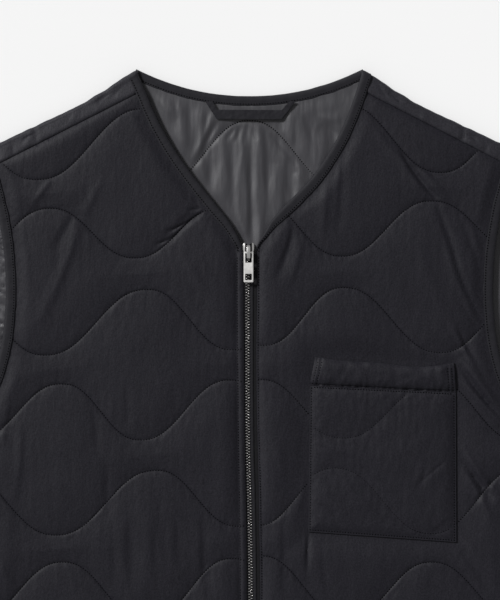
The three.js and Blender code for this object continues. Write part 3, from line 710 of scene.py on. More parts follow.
def frontHeight(side, x, drop):
    # height of the outer layer over the underside, x counted outwards from the middle
    neckAway = edgeDistance(neckX[side], x, drop, 1) + 1.5 * max(0, drop - vest["neckFoot"])
    armAway = edgeDistance(frontArmholeX, x, drop, -1) if drop < vest["armNear"] else 99
    hemAway = vest["length"] - drop
    zipAway = x - zipEdge(side, drop)
    away = nearestLine(side, x, drop)[0]
    puff = puffAt(away) * (0.94 + ripple(x, drop, front["uneven"]))
    full = front["wall"] + front["rise"] * puff
    full += ripple(x, drop, front["pucker"]) * math.exp(-away / 5) * smoothStep(0, 2, away)
    full += ripple(x, drop, front["crinkle"]) * smoothStep(0, 5, away)
    full += ripple(x, drop, front["heavy"]) * smoothStep(*front["heavyFrom"], drop) * puff
    crease = creaseLift(side, x, drop)
    full += crease * (0.3 + 0.7 * smoothStep(0, 4, away))
    full = max(0.5, min(full, front["wall"] + front["rise"] + front["most"]))
    # lower along the bindings, the zip, the shoulder seam and the side seam
    bound = min(neckAway + vest["binding"] - neckWidth(side, drop), armAway, hemAway) - vest["binding"] + 0.6
    tucked = front["tucked"] + ripple(x, drop, front["tuckPucker"]) * smoothStep(0, 4, bound)
    full = mix(tucked, full, smoothStep(0, front["tuckReach"], bound))
    stitch = front["stitchAt"][side]
    if zipAway < stitch:
        bulge = 1 - ((zipAway - stitch / 2) / (stitch / 2 + 0.4)) ** 2
        full = 1.1 + front["zipFold"][side] * max(0, bulge)
    else:
        full = mix(1.15, full, 1 - math.exp(-(zipAway - stitch) / 4.6))
    full = mix(1.0, full, 1 - math.exp(-max(0, drop - seamDrop(side, x)) / 3.6))
    full = mix(0.9, full, 1 - math.exp(-max(0, vest["sideHalf"] - x) / 4.5))
    if side == "left" and 25 < x < 212 and 230 < drop < 452:
        outside = outsidePocket(x, drop)
        free = smoothStep(0.5, 24, outside) ** 0.7
        full = mix(front["underPocket"], full, free)
        full += 0.75 * (1 - free) * crease * smoothStep(0.5, 4, outside)
    return full


def makeFront(side):
    turns = quiltTurns[side]
    strips = [front["endRows"]] + [front["stripRows"]] * (len(turns) - 1) + [front["endRows"]]
    tuck = vest["tuck"]
    foot = vest["length"] - front["hemTuck"]
    neckEdge = [(neckX[side](d) + tuck, d) for d in range(0, 166, 3)]
    armEdge = [(frontArmholeX(d) - tuck, d) for d in range(60, 330, 3)]
    armEdge.append((vest["sideHalf"] + 2, 330.2))

    def planAt(u, v):
        # the rows follow the stitch lines and crowd towards them
        at = v * sum(strips)
        n = 0
        while n < len(strips) - 1 and at > strips[n]:
            at -= strips[n]
            n += 1
        t = at / strips[n]
        t -= 0.6 * math.sin(2 * math.pi * t) / (2 * math.pi)
        share = u - 0.04 * math.sin(2 * math.pi * u)

        def dropAt(x):
            above = waveDrop(turns[n - 1], x) if n else front["firstDrop"]
            below = waveDrop(turns[n], x) if n < len(turns) else front["lastDrop"]
            return mix(above, below, t)

        x = mix(front["startX"], vest["sideHalf"], share)
        x = mix(zipEdge(side, dropAt(x)), vest["sideHalf"], share)
        return x, dropAt(x)

    def isInNeck(x, drop):
        return drop < vest["neckFoot"] and edgeDistance(neckX[side], x, drop, 1) < tuck

    def isInArmhole(x, drop):
        return drop < vest["armFoot"] and edgeDistance(frontArmholeX, x, drop, -1) < tuck

    def isOut(x, drop):
        if drop > foot or drop < seamDrop(side, x) + front["seamGap"]:
            return True
        return isInNeck(x, drop) or isInArmhole(x, drop)

    def nearestOn(edge, x, drop):
        found = (1e9, x, drop)
        for (ax, ad), (bx, bd) in zip(edge, edge[1:]):
            t = ((x - ax) * (bx - ax) + (drop - ad) * (bd - ad)) / ((bx - ax) ** 2 + (bd - ad) ** 2)
            t = min(1, max(0, t))
            px, pd = mix(ax, bx, t), mix(ad, bd, t)
            found = min(found, (math.hypot(px - x, pd - drop), px, pd))
        return found[1], found[2]

    def pulledIn(x, drop):
        if drop > foot:
            return x, foot
        if isInNeck(x, drop):
            x, drop = nearestOn(neckEdge, x, drop)
        elif isInArmhole(x, drop):
            x, drop = nearestOn(armEdge, x, drop)
        return x, max(drop, seamDrop(side, x) + front["seamGap"])

    def placeAt(x, drop, top):
        return sides[side] * x, yAt(drop), frontBaseAt(x) + (frontHeight(side, x, drop) if top else 0)

    bm = clothSheet(front["columns"], sum(strips), planAt, placeAt, vest["frontBase"], isOut, pulledIn)
    dress(bm, "front_cloth_" + side, ["front_" + side], nylon)


for side in sides:
    makeFront(side)


# Back, turned over each shoulder

back = {
    "shoulderColumns": 108,
    "neckColumns": 50,
    "flatRows": 190,
    "turnRows": 10,
    "topRows": 26,
    "neckColumn": 93,      # nearer the middle than this, the back ends at the neck
    "neckSide": 101.4,
    "tipColumn": 241.5,
    "groove": 1.15,        # depth of a stitch line
    "grooveReach": 2.4,
    "edgeLow": 0.62,       # height inside a binding
    "slump": 2.6,
    "deepest": 2.7,
    "pucker": (100, 5, 2.5, 0.7),
    "hollow": (131, 14, 3, 0.5),
    "foldCrinkle": (150, 9, 0.8, 0.22),
    "foldUneven": (151, 26, 1, 0.5),
}


def backTop(x):
    a = min(abs(x), back["tipColumn"])
    if a < back["neckColumn"]:
        return backNeck(a) + vest["tuck"]
    return max(5.8 - vest["foldProud"], foldDrop(a) + vest["foldRadius"])


def backArmEdge(step):
    return [(backArmholeX(d) - vest["tuck"], d) for d in range(60, 331, step)]


def nearestSpot(spots, x, drop):
    return min((math.hypot(px - abs(x), pd - drop), px, pd) for px, pd in spots)[1:]


def makeBack():
    # v is the drop, counted on over the shoulder's turn and down its top to the seam
    radius = vest["foldRadius"]
    arc = math.pi * (radius - 1)
    shoulder, neck = back["shoulderColumns"], back["neckColumns"]
    columns = 2 * shoulder + neck
    rows = back["flatRows"] + back["turnRows"] + back["topRows"]
    edgeFrom, edgeTo = vest["binding"] - 2, vest["binding"] + 5
    armEdge = backArmEdge(3) + [(vest["sideHalf"] + 2, 330.4)]

    def columnX(u):
        at = u * columns
        if at < shoulder:
            return mix(-vest["sideHalf"], -back["neckColumn"], at / shoulder)
        if at > shoulder + neck:
            return mix(back["neckColumn"], vest["sideHalf"], (at - shoulder - neck) / shoulder)
        return mix(-back["neckColumn"], back["neckColumn"], (at - shoulder) / neck)

    def planAt(u, v):
        x = columnX(u)
        top = backTop(x)
        at = v * rows
        over = back["topRows"]
        if at < over:
            reach = max(4, seamDrop(sideOf(x), x) - front["seamGap"] - top)
            return x, top - arc - (over - at) / over * reach
        if at < over + back["turnRows"]:
            return x, top - arc * (over + back["turnRows"] - at) / back["turnRows"]
        t = (at - over - back["turnRows"]) / back["flatRows"]
        return x, mix(top, vest["length"] - front["hemTuck"], t)

    def whereOn(x, v):
        top = backTop(x)
        if v >= top:
            return "flat", v
        if v > top - arc:
            return "turn", (top - v) / arc
        return "top", top + (top - arc - v)

    def limits(x, v):
        zone, value = whereOn(x, v)
        if zone == "top":
            return neckX[sideOf(x)](value) + vest["tuck"], frontArmholeX(value) - vest["tuck"]
        if zone == "turn":
            return back["neckSide"], back["tipColumn"]
        return 0, backArmholeX(value) - vest["tuck"] if value < vest["armFoot"] else 400

    def isGone(x, v):
        return v < backTop(x) - 1e-6 and abs(x) < back["neckColumn"] - 0.01

    def isOut(x, v):
        low, high = limits(x, v)
        return isGone(x, v) or abs(x) < low or abs(x) > high

    def pulledIn(x, v):
        low, high = limits(x, v)
        if whereOn(x, v)[0] != "flat":
            return math.copysign(min(max(abs(x), low), high), x), v
        if abs(x) < high:
            return x, v
        px, pd = nearestSpot(armEdge, x, v)
        return math.copysign(px, x), pd

    def undersideAt(x, drop):
        # the side that rests on the floor, hollowed along its stitch lines
        a = abs(x)
        bound = vest["length"] - drop
        if drop < vest["armNear"]:
            bound = min(bound, edgeDistance(backArmholeX, a, drop, -1))
        if a < 100:
            bound = min(bound, drop - backNeck(a))
        away, line = nearestLine("lining", x, drop)
        up = back["groove"] * math.exp(-(away / back["grooveReach"]) ** 1.2)
        up += max(0, ripple(x, drop, back["pucker"], line)) * math.exp(-away / 8)
        up += max(0, ripple(x, drop, back["hollow"]) - 0.125)
        return mix(back["edgeLow"], up, smoothStep(vest["binding"] - 1.5, edgeTo, bound))

    def depthAt(x, zone, value):
        # how far the turned part lies inside the full round of the fold
        a, side = abs(x), sideOf(x)
        onTop = zone == "top"
        armAway = edgeDistance(frontArmholeX, a, value, -1) if onTop else 243 - a
        neckAway = edgeDistance(neckX[side], a, value, 1) if onTop else a - 100
        deep = (1.15 if onTop else 0.7) * (1 - smoothStep(edgeFrom, edgeTo, min(armAway, neckAway)))
        turned = 1 if onTop else smoothStep(0.3, 1, value)
        drop = value if onTop else backTop(x)
        seamAway = seamDrop(side, x) - drop
        deep = max(deep, back["slump"] * smoothStep(-6, 20, seamAway) * turned)
        relief = ripple(x, drop, back["foldCrinkle"]) + ripple(x, drop, back["foldUneven"]) - 0.2
        relief += creaseLift("strip", a, drop)
        deep += turned * (1.6 * math.exp(-max(0, seamAway) / 1.5) - relief)
        return min(max(deep, 0), back["deepest"])

    def placeAt(x, v, inside):
        zone, value = whereOn(x, v)
        if zone == "flat":
            return x, yAt(value), vest["backWall"] - 0.36 * dipAt(x) if inside else undersideAt(x, value)
        deep = vest["backWall"] if inside else depthAt(x, zone, value)
        if zone == "top":
            return x, yAt(value), 2 * radius - deep
        turn, reach = math.pi * value, radius - deep
        return x, yAt(backTop(x)) + reach * math.sin(turn), radius - reach * math.cos(turn)

    bm = clothSheet(columns, rows, planAt, placeAt, vest["backWall"], isOut, pulledIn, isGone)
    # the back's nylon is painted lighter than the fronts' as painted light
    dress(bm, "back_cloth", ["back"], backNylonPaintedLight)


makeBack()


# Lining, seen through the neck and beside the armholes

lining = {
    "wall": 1.0,
    "rise": 2.1,
    "lowest": 0.45,
    "highest": 3.15,
    "edgeLow": 1.2,        # height inside a binding, and just beside it
    "edgeHigh": 1.75,
    "shaded": 0.46,        # height where a front's edge hangs over it
    "sideX": 280,
    # spans of the grid: where each starts and its number of steps
    "across": [(-280, 10), (-248, 18), (-212, 20), (-112, 128), (112, 20), (212, 18), (248, 10), (280, 0)],
    "down": [(0, 112), (172, 84), (330, 40), (678.5, 0)],
    "uneven": (205, 22, 1.5, 0.5),
    "folds": (230, 10, 7, 1),
    "fineFolds": (231, 3.6, 9, 0.25),
    "armGather": (240, 5.2, 1, 1),
    "armUneven": (241, 9, 1, 0.5),
    "pucker": (260, 2.6, 5, 0.4),
}


def spread(spans, t):
    # the place at share t of a row of spans
    at = t * sum(steps for start, steps in spans)
    i = 0
    while i < len(spans) - 2 and at > spans[i][1]:
        at -= spans[i][1]
        i += 1
    return mix(spans[i][0], spans[i + 1][0], at / spans[i][1])


def liningHeight(x, drop):
    a = abs(x)
    away = nearestLine("lining", x, drop)[0]
    bound = min(drop - backNeck(a), vest["length"] - drop)
    if drop < vest["armNear"]:
        bound = min(bound, edgeDistance(backArmholeX, a, drop, -1))
    seen = 1 - smoothStep(130, 185, drop)
    atArm = smoothStep(190, 215, a) * (1 - smoothStep(320, 360, drop))
    puff = 0.45 * (1 - math.exp(-away / 1.3)) + 0.55 * (1 - math.exp(-away / 14))
    full = lining["wall"] + lining["rise"] * puff * (0.7 + ripple(x, drop, lining["uneven"]))
    full += (0.3 + 0.8 * seen) * ripple(x, drop, lining["folds"]) * smoothStep(0, 7, away)
    full += seen * ripple(x, drop, lining["fineFolds"]) * smoothStep(0, 5, away)
    gather = abs(ripple(0.2 * x, drop + 0.5 * a, lining["armGather"]))
    gathered = 2.3 - 1.9 * math.exp(-gather / 0.07) + ripple(x, drop, lining["armUneven"])
    full = mix(full, gathered, atArm)
    full += ripple(x, drop, lining["pucker"]) * math.exp(-away / 5) * smoothStep(0, 1.5, away)
    full += 1.2 * creaseLift("lining", x, drop) * (0.15 + 0.85 * smoothStep(0, 6, away))
    if x < 0 and 8 < drop < 168:
        inside = (x + neckX["right"](drop)) * 0.83
        full = mix(full, lining["shaded"], bell(inside / 6) * smoothStep(8, 26, drop))
    if x > 200 and drop < 330:
        full = mix(full, lining["shaded"], math.exp(-((x - frontArmholeX(drop)) / 16) ** 4))
    full = max(lining["lowest"], min(full, lining["highest"]))
    full = mix(lining["edgeHigh"], full, smoothStep(0, mix(15, 2.5, atArm), bound - vest["binding"]))
    return mix(lining["edgeLow"], full, smoothStep(vest["binding"] - 1.6, vest["binding"] - 0.2, bound))


def makeLining():
    columns, rows = [sum(steps for start, steps in lining[way]) for way in ("across", "down")]
    neckRowsEnd = lining["down"][1][0]
    armEdge = backArmEdge(2)

    def planAt(u, v):
        x = spread(lining["across"], u)
        top = backTop(x) + (0 if abs(x) < back["neckColumn"] else 1)
        drop = spread(lining["down"], v)
        return x, drop + top * max(0, 1 - drop / neckRowsEnd)

    def isOut(x, drop):
        return drop < vest["armFoot"] + 0.5 and edgeDistance(backArmholeX, abs(x), drop, -1) < vest["tuck"]

    def pulledIn(x, drop):
        px, pd = nearestSpot(armEdge, x, drop)
        return math.copysign(min(px, lining["sideX"]), x), pd

    def placeAt(x, drop, top):
        return x, yAt(drop), vest["liningBase"] + (liningHeight(x, drop) if top else 0)

    bm = clothSheet(columns, rows, planAt, placeAt, vest["liningBase"], isOut, pulledIn)
    dress(bm, "lining_cloth", ["back_lining"], satin)


makeLining()


# Bindings: a folded tape over each cloth edge

binding = {
    # its section as (way in from the fold, height), over a front and over the back
    "onFront": [
        (9.0, -0.27), (4, -0.27), (1.3, -0.24), (0.35, 0.2), (0, 1.2), (0.25, 2.2), (1.1, 2.8), (3, 3.0),
        (5.6, 2.95), (7.4, 2.74), (8.4, 2.86), (9.0, 2.7), (8.9, 2.28), (7.4, 2.22), (4, 2.4), (1.5, 2.3),
        (0.7, 1.6), (0.6, 0.9), (1.2, 0.12), (4, -0.02), (9.0, -0.02),
    ],
    "onBack": [
        (9.0, 0.02), (5, 0.0), (1.4, 0.05), (0.4, 0.6), (0, 2.2), (0.1, 3.9), (0.7, 5.2), (2, 5.9),
        (5, 6.0), (7.3, 5.6), (8.4, 5.75), (9.0, 5.4), (8.8, 4.95), (7.2, 4.85), (3, 5.2), (1.3, 4.9),
        (0.7, 3.6), (0.6, 1.6), (1.4, 0.62), (5, 0.56), (9.0, 0.56),
    ],
    "neckFrom": 166.5,     # drop where the neck's binding starts
    "neckLong": 197,       # its length up the front, and over the shoulder's turn
    "turnLong": 7,
    "turn": 96,            # degrees
    "shear": 0.16,
    "wobble": (11, 0.5),   # size along the tape and height, and the same of the fine one
    "fine": (3.2, 0.3),
}


def shakeAt(along, seed, step, size, high):
    return high * noise.noise(Vector((along / size, seed, step)))


def fullSize(t):
    return 1, 1


def bindingStrip(name, node, section, steps, frameAt, seed, sizeAt=fullSize):
    bm = bmesh.new()
    bmesh.ops.create_grid(bm, x_segments=len(section), y_segments=steps, size=0.5)
    for v in bm.verts:
        k = round((v.co.x + 0.5) * len(section)) % len(section)
        t = v.co.y + 0.5
        origin, across, up, along = frameAt(t)
        wide, tall = sizeAt(t)
        out, high = section[k][0] * wide, section[k][1] * tall
        wobble = shakeAt(along, seed, 0, *binding["wobble"])
        fine = shakeAt(along, seed, k * 0.35, *binding["fine"])
        lip = smoothStep(0, 1, (high - 1.2) / 1.2)
        out += (wobble + 0.5 * fine) * (1 if out > 6 else 0.45)
        high += lip * (0.35 * fine + 0.25 * wobble)
        v.co = origin + across * out + up * high
    bmesh.ops.remove_doubles(bm, verts=bm.verts, dist=1e-4)
    start, finish = frameAt(0)[0], frameAt(1)[0]
    rim = [e for e in bm.edges if e.is_boundary]
    first = [e for e in rim if (e.verts[0].co - start).length < (e.verts[0].co - finish).length]
    for end in (first, [e for e in rim if e not in first]):
        bmesh.ops.triangle_fill(bm, use_beauty=True, use_dissolve=False, edges=end)
    dress(bm, name, [node], bindingCloth, sharp=60)


def floorBase(x):
    return 0


def planFrame(pathAt, inward, base=floorBase):
    # frame of a tape that follows a level path, given as x and drop at t
    points = [pathAt(i / 60) for i in range(61)]
    long = sum(math.dist(a, b) for a, b in zip(points, points[1:]))

    def frameAt(t):
        x, drop = pathAt(t)
        before, after = pathAt(max(0, t - 0.004)), pathAt(min(1, t + 0.004))
        along = Vector((after[0] - before[0], before[1] - after[1], 0)).normalized()
        across = Vector((-along.y, along.x, 0)) * inward
        return Vector((x, yAt(drop), base(x))), across, Vector((0, 0, 1)), t * long

    return frameAt


def neckPath(side, low, high):
    # up the neckline, from drop high to drop low
    return lambda t: (sides[side] * neckX[side](mix(high, low, t)), mix(high, low, t))


def backNeckPath(half):
    return lambda t: (mix(-half, half, t), backNeck(mix(-half, half, t)))


def hemPath(start, end, sign=1):
    return lambda t: (sign * mix(start, end, t), vest["length"])


def armPath(name, sign):
    # even steps along the curve through an outline's points
    points = outline[name]
    curve = smoothCurve(points)
    drops = [mix(a[0], b[0], i / 20) for a, b in zip(points, points[1:]) for i in range(20)] + [points[-1][0]]
    spots = [(sign * curve(d), d) for d in drops]
    lengths = [0]
    for a, b in zip(spots, spots[1:]):
        lengths.append(lengths[-1] + math.dist(a, b))

    def pathAt(t):
        at = t * lengths[-1]
        i = 0
        while i < len(lengths) - 2 and lengths[i + 1] < at:
            i += 1
        share = (at - lengths[i]) / (lengths[i + 1] - lengths[i])
        return mix(spots[i][0], spots[i + 1][0], share), mix(spots[i][1], spots[i + 1][1], share)

    return pathAt


def neckFrame(side):
    # up the front neckline and over the shoulder's turn
    sign = sides[side]
    low = vest["foldRadius"] - vest["foldProud"]
    share = binding["neckLong"] / (binding["neckLong"] + binding["turnLong"])
    centre = Vector((sign * neckX[side](low), yAt(low), vest["foldRadius"]))
    inner = vest["foldRadius"] - vest["backWall"]
    level = planFrame(neckPath(side, low, binding["neckFrom"]), -sign, frontBaseAt)

    def frameAt(t):
        if t <= share:
            return level(t / share)
        past = (t - share) / (1 - share)
        turn = math.radians(binding["turn"]) * past
        across = level(1)[1] - Vector((0, binding["shear"] * math.sin(turn), 0))
        up = Vector((0, math.sin(turn), math.cos(turn)))
        return centre + up * inner, across, up, binding["neckLong"] + binding["turnLong"] * past

    return frameAt


def makeBindings(side):
    sign = sides[side]
    onFront, onBack = binding["onFront"], binding["onBack"]

    def neckSize(t):
        # narrower and flatter beside the zip
        width = neckWidth(side, vest["neckFoot"] * (1 - t)) / vest["binding"]
        return width, mix(0.5, 1, smoothStep(-0.01, 0.09, t))

    frontArm = planFrame(armPath("armFront", sign), -sign, frontBaseAt)
    backArm = planFrame(armPath("armBack", sign), -sign)
    hem = planFrame(hemPath(zipEdge(side, vest["length"]), vest["sideHalf"], sign), sign, frontBaseAt)
    for name, section, steps, frameAt, seed, sizeAt in (
        ("neck_@", onFront, 190, neckFrame(side), 3, neckSize),
        ("armhole_@_front", onFront, 230, frontArm, 7, fullSize),
        ("armhole_@_back", onBack, 200, backArm, 11, fullSize),
        ("hem_@_front", onFront, 150, hem, 15, fullSize),
    ):
        piece, node = [name.replace("@", word) + "_" + side for word in ("tape", "binding")]
        bindingStrip(piece, node, section, steps, frameAt, seed + sign, sizeAt)


for side in sides:
    makeBindings(side)
bindingStrip(
    "neck_tape_back", "neck_binding_back", binding["onBack"], 150,
    planFrame(backNeckPath(vest["neckHalf"]), -1), 21)
bindingStrip(
    "hem_tape_back", "hem_binding_back", binding["onBack"], 220,
    planFrame(hemPath(-vest["sideHalf"], vest["sideHalf"]), 1), 25)
print("bindings made")


# Chest pocket and its padded band

pocket = {
    "seat": 8.9,
    "wall": 1.4,
    "rise": 2.5,
    "rim": 1.6,            # width of the sewn edge
    "uneven": (305, 26, 1, 0.2),
    "pucker": (320, 3.8, 2.2, 0.5),
    "crinkle": (340, 5, 2.4, 0.3),
    "gathers": (352, 3.4, 4, 0.7),
    "sideways": (355, 4, 0.8, 0.5),
}
band = {
    "low": (283.7, 290),       # drop of its lower edge, at both ends
    "topX": (59.2, 183.8),
    "lowX": (54, 185.5),
    "wall": 0.9,
    "rise": 3.9,
    "long": 128,
    "stitchAt": (2.2, 5.8),    # two rows of stitches this far in from each end
    "stitchDeep": 0.6,
    # the way in from each end, and that end's line from top to bottom
    "ends": [(1, (59.4, 262), (54.2, 283)), (-1, (183.4, 267.6), (185.2, 289))],
    "uneven": (400, 8, 1, 0.6),
    "gathers": (402, 3.2, 2.4, 1.1),
    "soft": (405, 7, 2, 0.35),
}
bandTop = smoothCurve([
    (58.3, 258.3), (81.4, 261.6), (120.3, 264), (139.8, 266.6), (159.2, 267), (178.6, 264.4), (184.8, 263.2),
])


def alongBand(x):
    low, high = band["lowX"]
    return (x - low) / (high - low)


def pocketHeight(x, drop):
    away = nearestLine("pocket", x, drop)[0]
    rim = -outsidePocket(x, drop)
    bandAway = drop - mix(pocketCorners["bandInner"][1], pocketCorners["bandOuter"][1], alongBand(x))
    puff = mix(puffAt(away), 1, 0.3)
    full = pocket["wall"] + pocket["rise"] * puff * (0.9 + ripple(x, drop, pocket["uneven"]))
    full += ripple(x, drop, pocket["pucker"]) * math.exp(-away / 5) * smoothStep(0, 2, away)
    full += ripple(x, drop, pocket["crinkle"]) + creaseLift("pocket", x, drop)
    full = max(0.7, min(full, pocket["wall"] + pocket["rise"]))
    full += ripple(x, 3 * drop, pocket["gathers"]) * math.exp(-max(0, bandAway) / 9)
    full += ripple(4 * x, drop, pocket["sideways"]) * math.exp(-max(0, rim - 2) / 7)
    full = mix(1.0, full, 1 - math.exp(-max(0, rim - pocket["rim"]) / 4.5))
    if rim < pocket["rim"]:
        full = 0.9 + 0.45 * max(0, 1 - ((rim - 0.7) / 0.95) ** 2)
    full = mix(0.8, full, 1 - math.exp(-max(0, bandAway) / 3))
    return max(0.5, full)


def makePocket():
    names = ("bandInner", "bandOuter", "floorInner", "floorOuter")
    (ax, ad), (bx, bd), (cx, cd), (ex, ed) = [pocketCorners[name] for name in names]

    def planAt(u, v):
        return mix(mix(ax, bx, u), mix(cx, ex, u), v), mix(mix(ad, bd, u), mix(cd, ed, u), v)

    def placeAt(x, drop, top):
        return x, yAt(drop), pocket["seat"] + (pocketHeight(x, drop) if top else 0)

    bm = clothSheet(96, 100, planAt, placeAt, pocket["seat"])
    dress(bm, "pocket_cloth", ["pocket"], nylon)


def bandEnds(v):
    return [mix(band["topX"][k], band["lowX"][k], v) for k in (0, 1)]


def bandHeight(x, drop):
    top = bandTop(x)
    v = min(1, max(0, (drop - top) / (mix(*band["low"], alongBand(x)) - top)))
    start, end = bandEnds(v)
    u = min(1, max(0, (x - start) / (end - start)))
    swell = max(0, 1 - abs(2 * v - 0.92) ** 2.6) ** 0.6
    ends = min(1, 0.4 + 1.1 * math.sin(math.pi * u) ** 0.5)
    high = band["wall"] + band["rise"] * swell * ends
    high += ripple(x, drop, band["uneven"]) * ends
    high += ripple(x, drop, band["gathers"]) * smoothStep(0.45, 1, v)
    high += ripple(x, drop, band["soft"]) * (1 - smoothStep(0, 0.4, v)) * ends
    for row in band["stitchAt"]:
        for away in (u * band["long"], (1 - u) * band["long"]):
            high -= band["stitchDeep"] * bell((away - row) / 0.9)
    return max(0.5, high)


def makeBand():
    def planAt(u, v):
        x = mix(*bandEnds(v), u)
        return x, mix(bandTop(x), mix(*band["low"], u), v)

    def placeAt(x, drop, top):
        return x, yAt(drop), pocket["seat"] + (bandHeight(x, drop) if top else 0)

    bm = clothSheet(110, 26, planAt, placeAt, pocket["seat"])
    dress(bm, "pocket_band_cloth", ["pocket_band"], nylon)


makePocket()
makeBand()
print("pocket made")


# Hanger loop

loop = {
    "low": 7.0,
    "thick": 1.1,
    "outer": [(-40, 28), (-29.9, 43.7), (28.6, 44.2), (41.5, 28)],
    "inner": [(-33.4, 28), (-29, 35.6), (29, 36), (35.9, 28)],
    "uneven": (500, 9, 1, 0.3),
    "fine": (501, 3, 1, 0.2),
}


def makeLoop():
    edges = (loop["outer"], loop["inner"])
    lengths = [0]
    for a, b in zip(loop["outer"], loop["outer"][1:]):
        lengths.append(lengths[-1] + math.dist(a, b))

    def planAt(u, v):
        at = u * lengths[-1]
        i = 0
        while i < 2 and lengths[i + 1] < at:
            i += 1
        t = (at - lengths[i]) / (lengths[i + 1] - lengths[i])
        outer, inner = [[mix(edge[i][k], edge[i + 1][k], t) for k in (0, 1)] for edge in edges]
        return mix(outer[0], inner[0], v), mix(outer[1], inner[1], v)

    def placeAt(x, drop, top):
        if not top:
            return x, yAt(drop), loop["low"]
        # thinner where the loop is folded over its corners
        middle = min(1, abs(abs(x) - 30) / 10) if drop > 33 else 1
        wave = ripple(x, drop, loop["uneven"]) + ripple(x, drop, loop["fine"])
        return x, yAt(drop), loop["low"] + loop["thick"] * (0.8 + 0.2 * middle) + wave

    bm = clothSheet(110, 8, planAt, placeAt, loop["low"])
    dress(bm, "hanger_loop_tape", ["hanger_loop"], bindingCloth)


makeLoop()


# Zip: teeth, tapes, box, slider and pull tab

zipper = {
    "top": 170,
    "foot": 667.5,
    "pitch": 2.54,
    "low": 7.6,
    "high": 9.3,
    "tooth": (1.9, 0.92, 1.7),     # length, width and height
    "toothHook": 0.25,
    "toothDip": 0.2,
    "toothRound": 0.28,
    "toothShift": 0.95,            # how far each side's teeth sit from the middle
    "sliderShift": -0.9,
    "tapeFrom": 1.95,              # the left tape starts this far from the teeth's middle, and ends there
    "tapeTo": 5.5,
    "tapeHigh": {"right": 6.96, "left": 8.3},
    "tapeWeave": (610, 4, 2, 0.1),
    "ground": (7.04, 7.32),
    "windowDrop": 186.5,           # the pull's window, and how much larger it is cut than the solid's
    "windowHalf": (3, 3.2),
    "windowSize": (1.06, 1.3),
}
teethX = zipLine["teeth"]


def toothMesh(way):
    # a rounded bar whose nose, towards the other side, is a little lower and hooks upwards
    long, wide, high = zipper["tooth"]
    bm = bmesh.new()
    bmesh.ops.create_cube(bm, size=1)
    for v in bm.verts:
        if v.co.x < 0:
            v.co.y += zipper["toothHook"]
            v.co.z -= zipper["toothDip"]
    bmesh.ops.scale(bm, vec=(way * long, wide, high), verts=bm.verts)
    bmesh.ops.bevel(
        bm, geom=bm.edges, offset=zipper["toothRound"], segments=1, affect="EDGES", profile=0.5, material=-1)
    mesh = bpy.data.meshes.new("tooth")
    bm.to_mesh(mesh)
    bm.free()
    return mesh


def makeTeeth():
    bm = bmesh.new()
    middle = (zipper["low"] + zipper["high"]) / 2
    rows = [(toothMesh(1), zipper["toothShift"], 0), (toothMesh(-1), -zipper["toothShift"], 0.5)]
    for i in range(int((zipper["foot"] - zipper["top"]) / zipper["pitch"])):
        for mesh, shift, step in rows:
            start = len(bm.verts)
            bm.from_mesh(mesh)
            bm.verts.ensure_lookup_table()
            drop = zipper["top"] + 1 + (i + step) * zipper["pitch"]
            jog = 0.1 * noise.noise(Vector((i * 0.9, shift, 3)))
            place = (teethX(min(drop, vest["length"])) + shift + jog, yAt(drop), middle)
            bmesh.ops.translate(bm, vec=place, verts=bm.verts[start:])
    dress(bm, "zip_teeth", ["zip_chain"], plated, sharp=35)


def makeCore():
    # the tape's part behind the teeth, from one front's edge to the other's, painted near black: painted
    # shade standing for the dark gaps between the teeth
    def planAt(u, v):
        drop = mix(zipper["top"] - 4, zipper["foot"], v)
        return mix(0.2 - zipEdge("right", drop), zipEdge("left", drop) - 0.2, u), drop

    def placeAt(x, drop, top):
        return x, yAt(drop), zipper["ground"][1 if top else 0]

    dress(clothSheet(6, 120, planAt, placeAt), "zip_ground_painted_shade", [], zipGroundPaintedShade)


def makeTape(side):
    def planAt(u, v):
        drop = mix(zipper["top"] + 0.5, zipper["foot"], v)
        centre = teethX(drop)
        if side == "left":
            return mix(centre + zipper["tapeFrom"], centre + zipper["tapeTo"], u), drop
        return mix(centre - 2.6, -zipEdge("right", drop) - 0.9, u), drop

    def placeAt(x, drop, top):
        away = abs(x - teethX(drop)) - zipper["tapeFrom"]
        high = 8.2 - 0.5 * smoothStep(2.8, 3.5, away) + ripple(x, drop, zipper["tapeWeave"])
        return x, yAt(drop), min(high, zipper["tapeHigh"][side]) if top else high - 0.5

    bm = clothSheet(9, 260, planAt, placeAt)
    dress(bm, "zip_cloth_" + side, ["zip_tape_" + side], zipCloth)


def makeSliderPaintedShade():
    # painted shade: near black in the hollow under the bridge, where shade falls, and bright plating on the
    # bridge and the shoulders
    paint = Paint("sliderPaintedShade")
    where = paint.add("ShaderNodeTexCoord", {}, {}, "Object")
    across = paint.add("ShaderNodeSeparateXYZ", {}, {"Vector": where}, "X")
    up = paint.add("ShaderNodeSeparateXYZ", {}, {"Vector": where}, "Z")
    beside = paint.sum("ABSOLUTE", across + 0.0009, 0)
    bright = paint.sum("GREATER_THAN", beside, 0.0031)
    high = paint.sum("GREATER_THAN", up, 0.0117)
    unshadedMask = paint.sum("MAXIMUM", bright, high)
    cloudy = paint.noise((1, 1, 1), 260, 3)
    return paint.done({
        # painted shade: the hollow takes a near-black colour in place of its shade, the rest the plating's
        # bright colour
        "Base Color": paint.tinted((0.004, 0.004, 0.005), (0.78, 0.77, 0.76), unshadedMask),
        "Metallic": 1.0,
        "Roughness": 0.22 + 0.14 * cloudy,
    })


def wideWindow(v):
    # the pull's window is cut a little larger than the solid's
    centreX, centreY = zipper["sliderShift"], yAt(zipper["windowDrop"])
    halfX, halfY = zipper["windowHalf"]
    sizeX, sizeY = zipper["windowSize"]
    if abs(v.co.x - centreX) < halfX and abs(v.co.y - centreY) < halfY:
        v.co.y = centreY + sizeY * (v.co.y - centreY)
        v.co.x = centreX + sizeX * (v.co.x - centreX)


